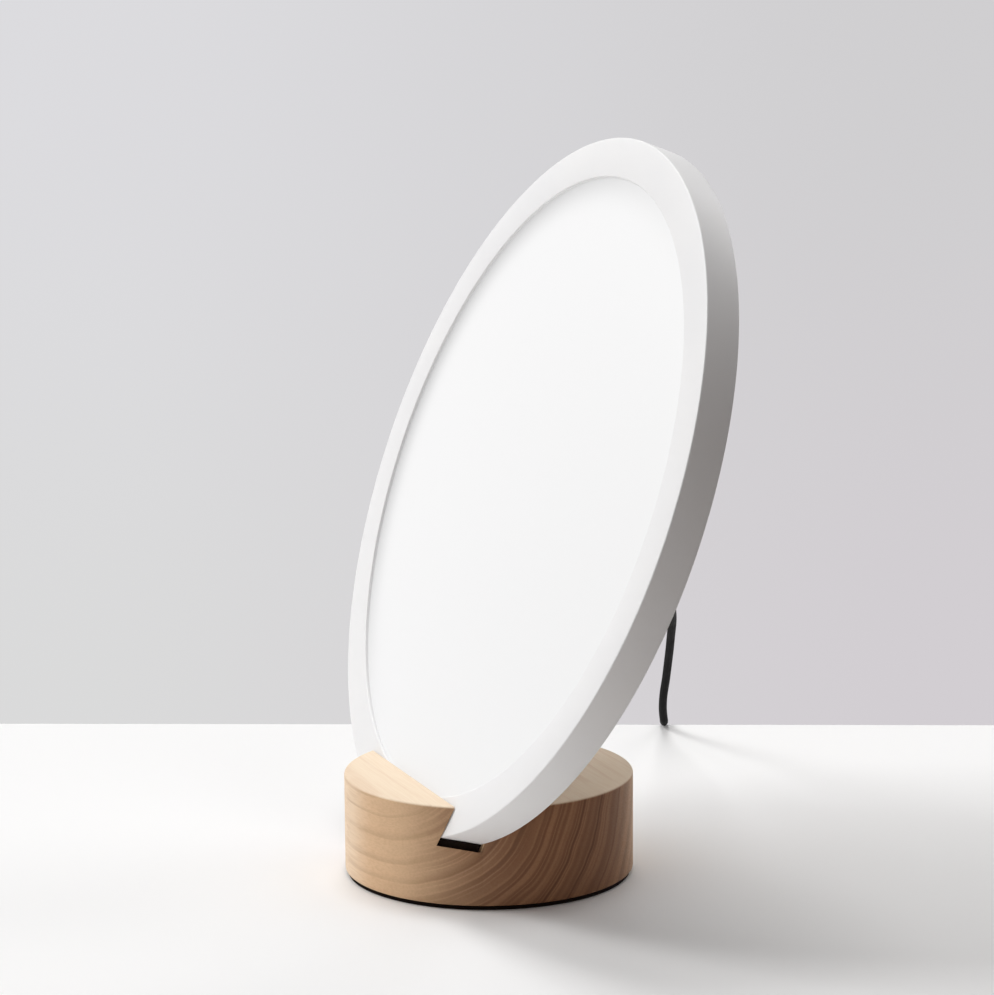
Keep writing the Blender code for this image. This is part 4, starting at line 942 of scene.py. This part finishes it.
# Power button: a round white key with a dished top, held by its flange behind the cover. It
# slides in the cover's hole and presses the switch on the board.
FLANGE_RADIUS, KEY_RADIUS, DISH_RADIUS, HOLLOW_RADIUS = 0.0069, 0.0057, 0.0040, 0.0020
FLANGE_INSIDE, FLANGE_OUTSIDE = -0.0122, -0.0127
KEY_TOP, HOLLOW_LEVEL, HOLLOW_MIDDLE = -0.0150, -0.01475, -0.0147
key_corners = [
    (0, FLANGE_INSIDE, 0),
    (FLANGE_RADIUS, FLANGE_INSIDE, 0.0001),
    (FLANGE_RADIUS, FLANGE_OUTSIDE, 0.0001),
    (KEY_RADIUS, FLANGE_OUTSIDE, 0),
    (KEY_RADIUS, KEY_TOP, 0.0005),
    (DISH_RADIUS, KEY_TOP, 0.0008),
    (HOLLOW_RADIUS, HOLLOW_LEVEL, 0.0008),
    (0, HOLLOW_MIDDLE, 0),
]
button_at = PANEL @ Matrix.Translation(button_place)
button = turned("round_button", eased(key_corners, 4), 96, button_at)
key, shader, made = finish("button_key", (0.82, 0.82, 0.82), 0.32)
speckle(made, 400.0).steps(0.3, 0.7, 0.28, 0.38).into(shader, "Roughness")
button.data.materials.append(key)
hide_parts("power_button")
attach(button, "button")


# Cord sleeve: a tapered rubber sleeve with a collar and sunk grooves, which let it bend. Its
# neck passes through the cover's hole to a thin flange behind.
SLEEVE_LENGTH, SLEEVE_RADIUS, SLEEVE_ROOT_LEVEL = 0.022, 0.0046, -0.0148
NECK_RADIUS, NECK_FLANGE, NECK_END = 0.0031, -0.0022, -0.0024
neck_corners = [
    (0, NECK_FLANGE, 0),
    (SLEEVE_RADIUS, NECK_FLANGE, 0.0001),
    (SLEEVE_RADIUS, NECK_END, 0.0001),
    (NECK_RADIUS, NECK_END, 0.0001),
    (NECK_RADIUS, 0, 0.0001),
]
sleeve_root = Matrix.Translation((0, OUTLET_HEIGHT, SLEEVE_ROOT_LEVEL))
sleeve = turned(
    "cord_sleeve",
    eased(neck_corners + sleeve_profile(SLEEVE_LENGTH, SLEEVE_RADIUS, 4)[1:]),
    48,
    PANEL @ sleeve_root @ Matrix.Rotation(math.pi, 4, "X"),
)
sleeve.data.materials.append(sleeve_rubber)
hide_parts("cord_relief")
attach(sleeve, "panel")


# Inside the housing: the clear guide, the white film, the light strip on its aluminium ring,
# the foam that presses them forward, and the driver board with its push switch and leads.
BOARD_FACE = -0.0101
CHIP_REACH, STRIP_REACH = 0.13735, 0.13765


def refinish(material, *names):
    """Gives CAD nodes a better material."""
    for name in names:
        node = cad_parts[name]
        node.data.materials.clear()
        node.data.materials.append(material)


guide_acrylic, shader, made = finish("guide_acrylic", (0.9, 0.92, 0.93), 0.08)
shader.inputs["Transmission Weight"].default_value = 0.9
shader.inputs["IOR"].default_value = 1.49
speckle(made, 700.0).steps(0.4, 0.7, 0.05, 0.14).into(shader, "Roughness")
refinish(guide_acrylic, "light_guide")

film, shader, made = finish("white_film", (0.9, 0.9, 0.9), 0.25)
speckle(made, 120.0).steps(0.3, 0.7, 0.18, 0.32).into(shader, "Roughness")
refinish(film, "reflector_sheet")

strip, shader, made = finish("strip_and_chips", (0.88, 0.87, 0.84), 0.5)
from_centre = made.vectors("DISTANCE", made.place(), PANEL.translation)
chip = 1 - from_centre.steps(CHIP_REACH, STRIP_REACH)
chip.tint((0.86, 0.86, 0.84), (0.85, 0.72, 0.30)).into(shader, "Base Color")
speckle(made, 300.0).steps(0.3, 0.7, 0.4, 0.55).into(shader, "Roughness")
refinish(strip, "led_strip")

rolled, shader, made = finish("rolled_aluminium", (0.78, 0.79, 0.80), 0.35, 1.0)
roll_marks = speckle(made, 1.0, 3.0, (80.0, 900.0, 900.0))
roll_marks.steps(0.3, 0.7, 0.26, 0.44).into(shader, "Roughness")
refinish(rolled, "heat_ring")

foam, shader, made = finish("open_foam", (0.10, 0.10, 0.105), 0.95)
cells = made.node("TexVoronoi", None, {"Vector": made.place(), "Scale": 900.0})
foam_tint = cells.steps(0.1, 0.7).tint((0.04, 0.04, 0.042), (0.14, 0.14, 0.145))
foam_tint.into(shader, "Base Color")
bump(made, shader, cells, 0.8, 0.0005)
refinish(foam, "foam_backing")

lacquer, shader, made = finish("board_lacquer", (0.05, 0.25, 0.12), 0.35)
place = made.place()
face_middle = PANEL @ Vector((0, 0, BOARD_FACE))
behind = made.vectors("DOT_PRODUCT", made.vectors("SUBTRACT", place, face_middle), leaving)
part_mask = behind.steps(0.00015, 0.0003)
tracks = made.node("TexVoronoi", {"distance": "CHEBYCHEV"}, {"Vector": place, "Scale": 220.0})
copper = tracks.steps(0.40, 0.46) * 0.5
green = copper.tint((0.02, 0.16, 0.07), (0.06, 0.34, 0.15))
part_mask.tint(green, (0.05, 0.05, 0.055)).into(shader, "Base Color")
refinish(lacquer, "driver_board")

black_part, shader, made = finish("black_moulding", (0.03, 0.03, 0.03), 0.45)
speckle(made, 500.0).steps(0.3, 0.7, 0.38, 0.52).into(shader, "Roughness")
refinish(black_part, "switch_body", "switch_plunger")

for colour, name in (((0.45, 0.02, 0.02), "plus"), ((0.02, 0.02, 0.02), "minus")):
    wire, shader, made = finish(f"wire_{name}", colour, 0.4)
    speckle(made, 500.0).steps(0.3, 0.7, 0.33, 0.48).into(shader, "Roughness")
    refinish(wire, f"supply_lead_{name}", f"strip_lead_{name}")
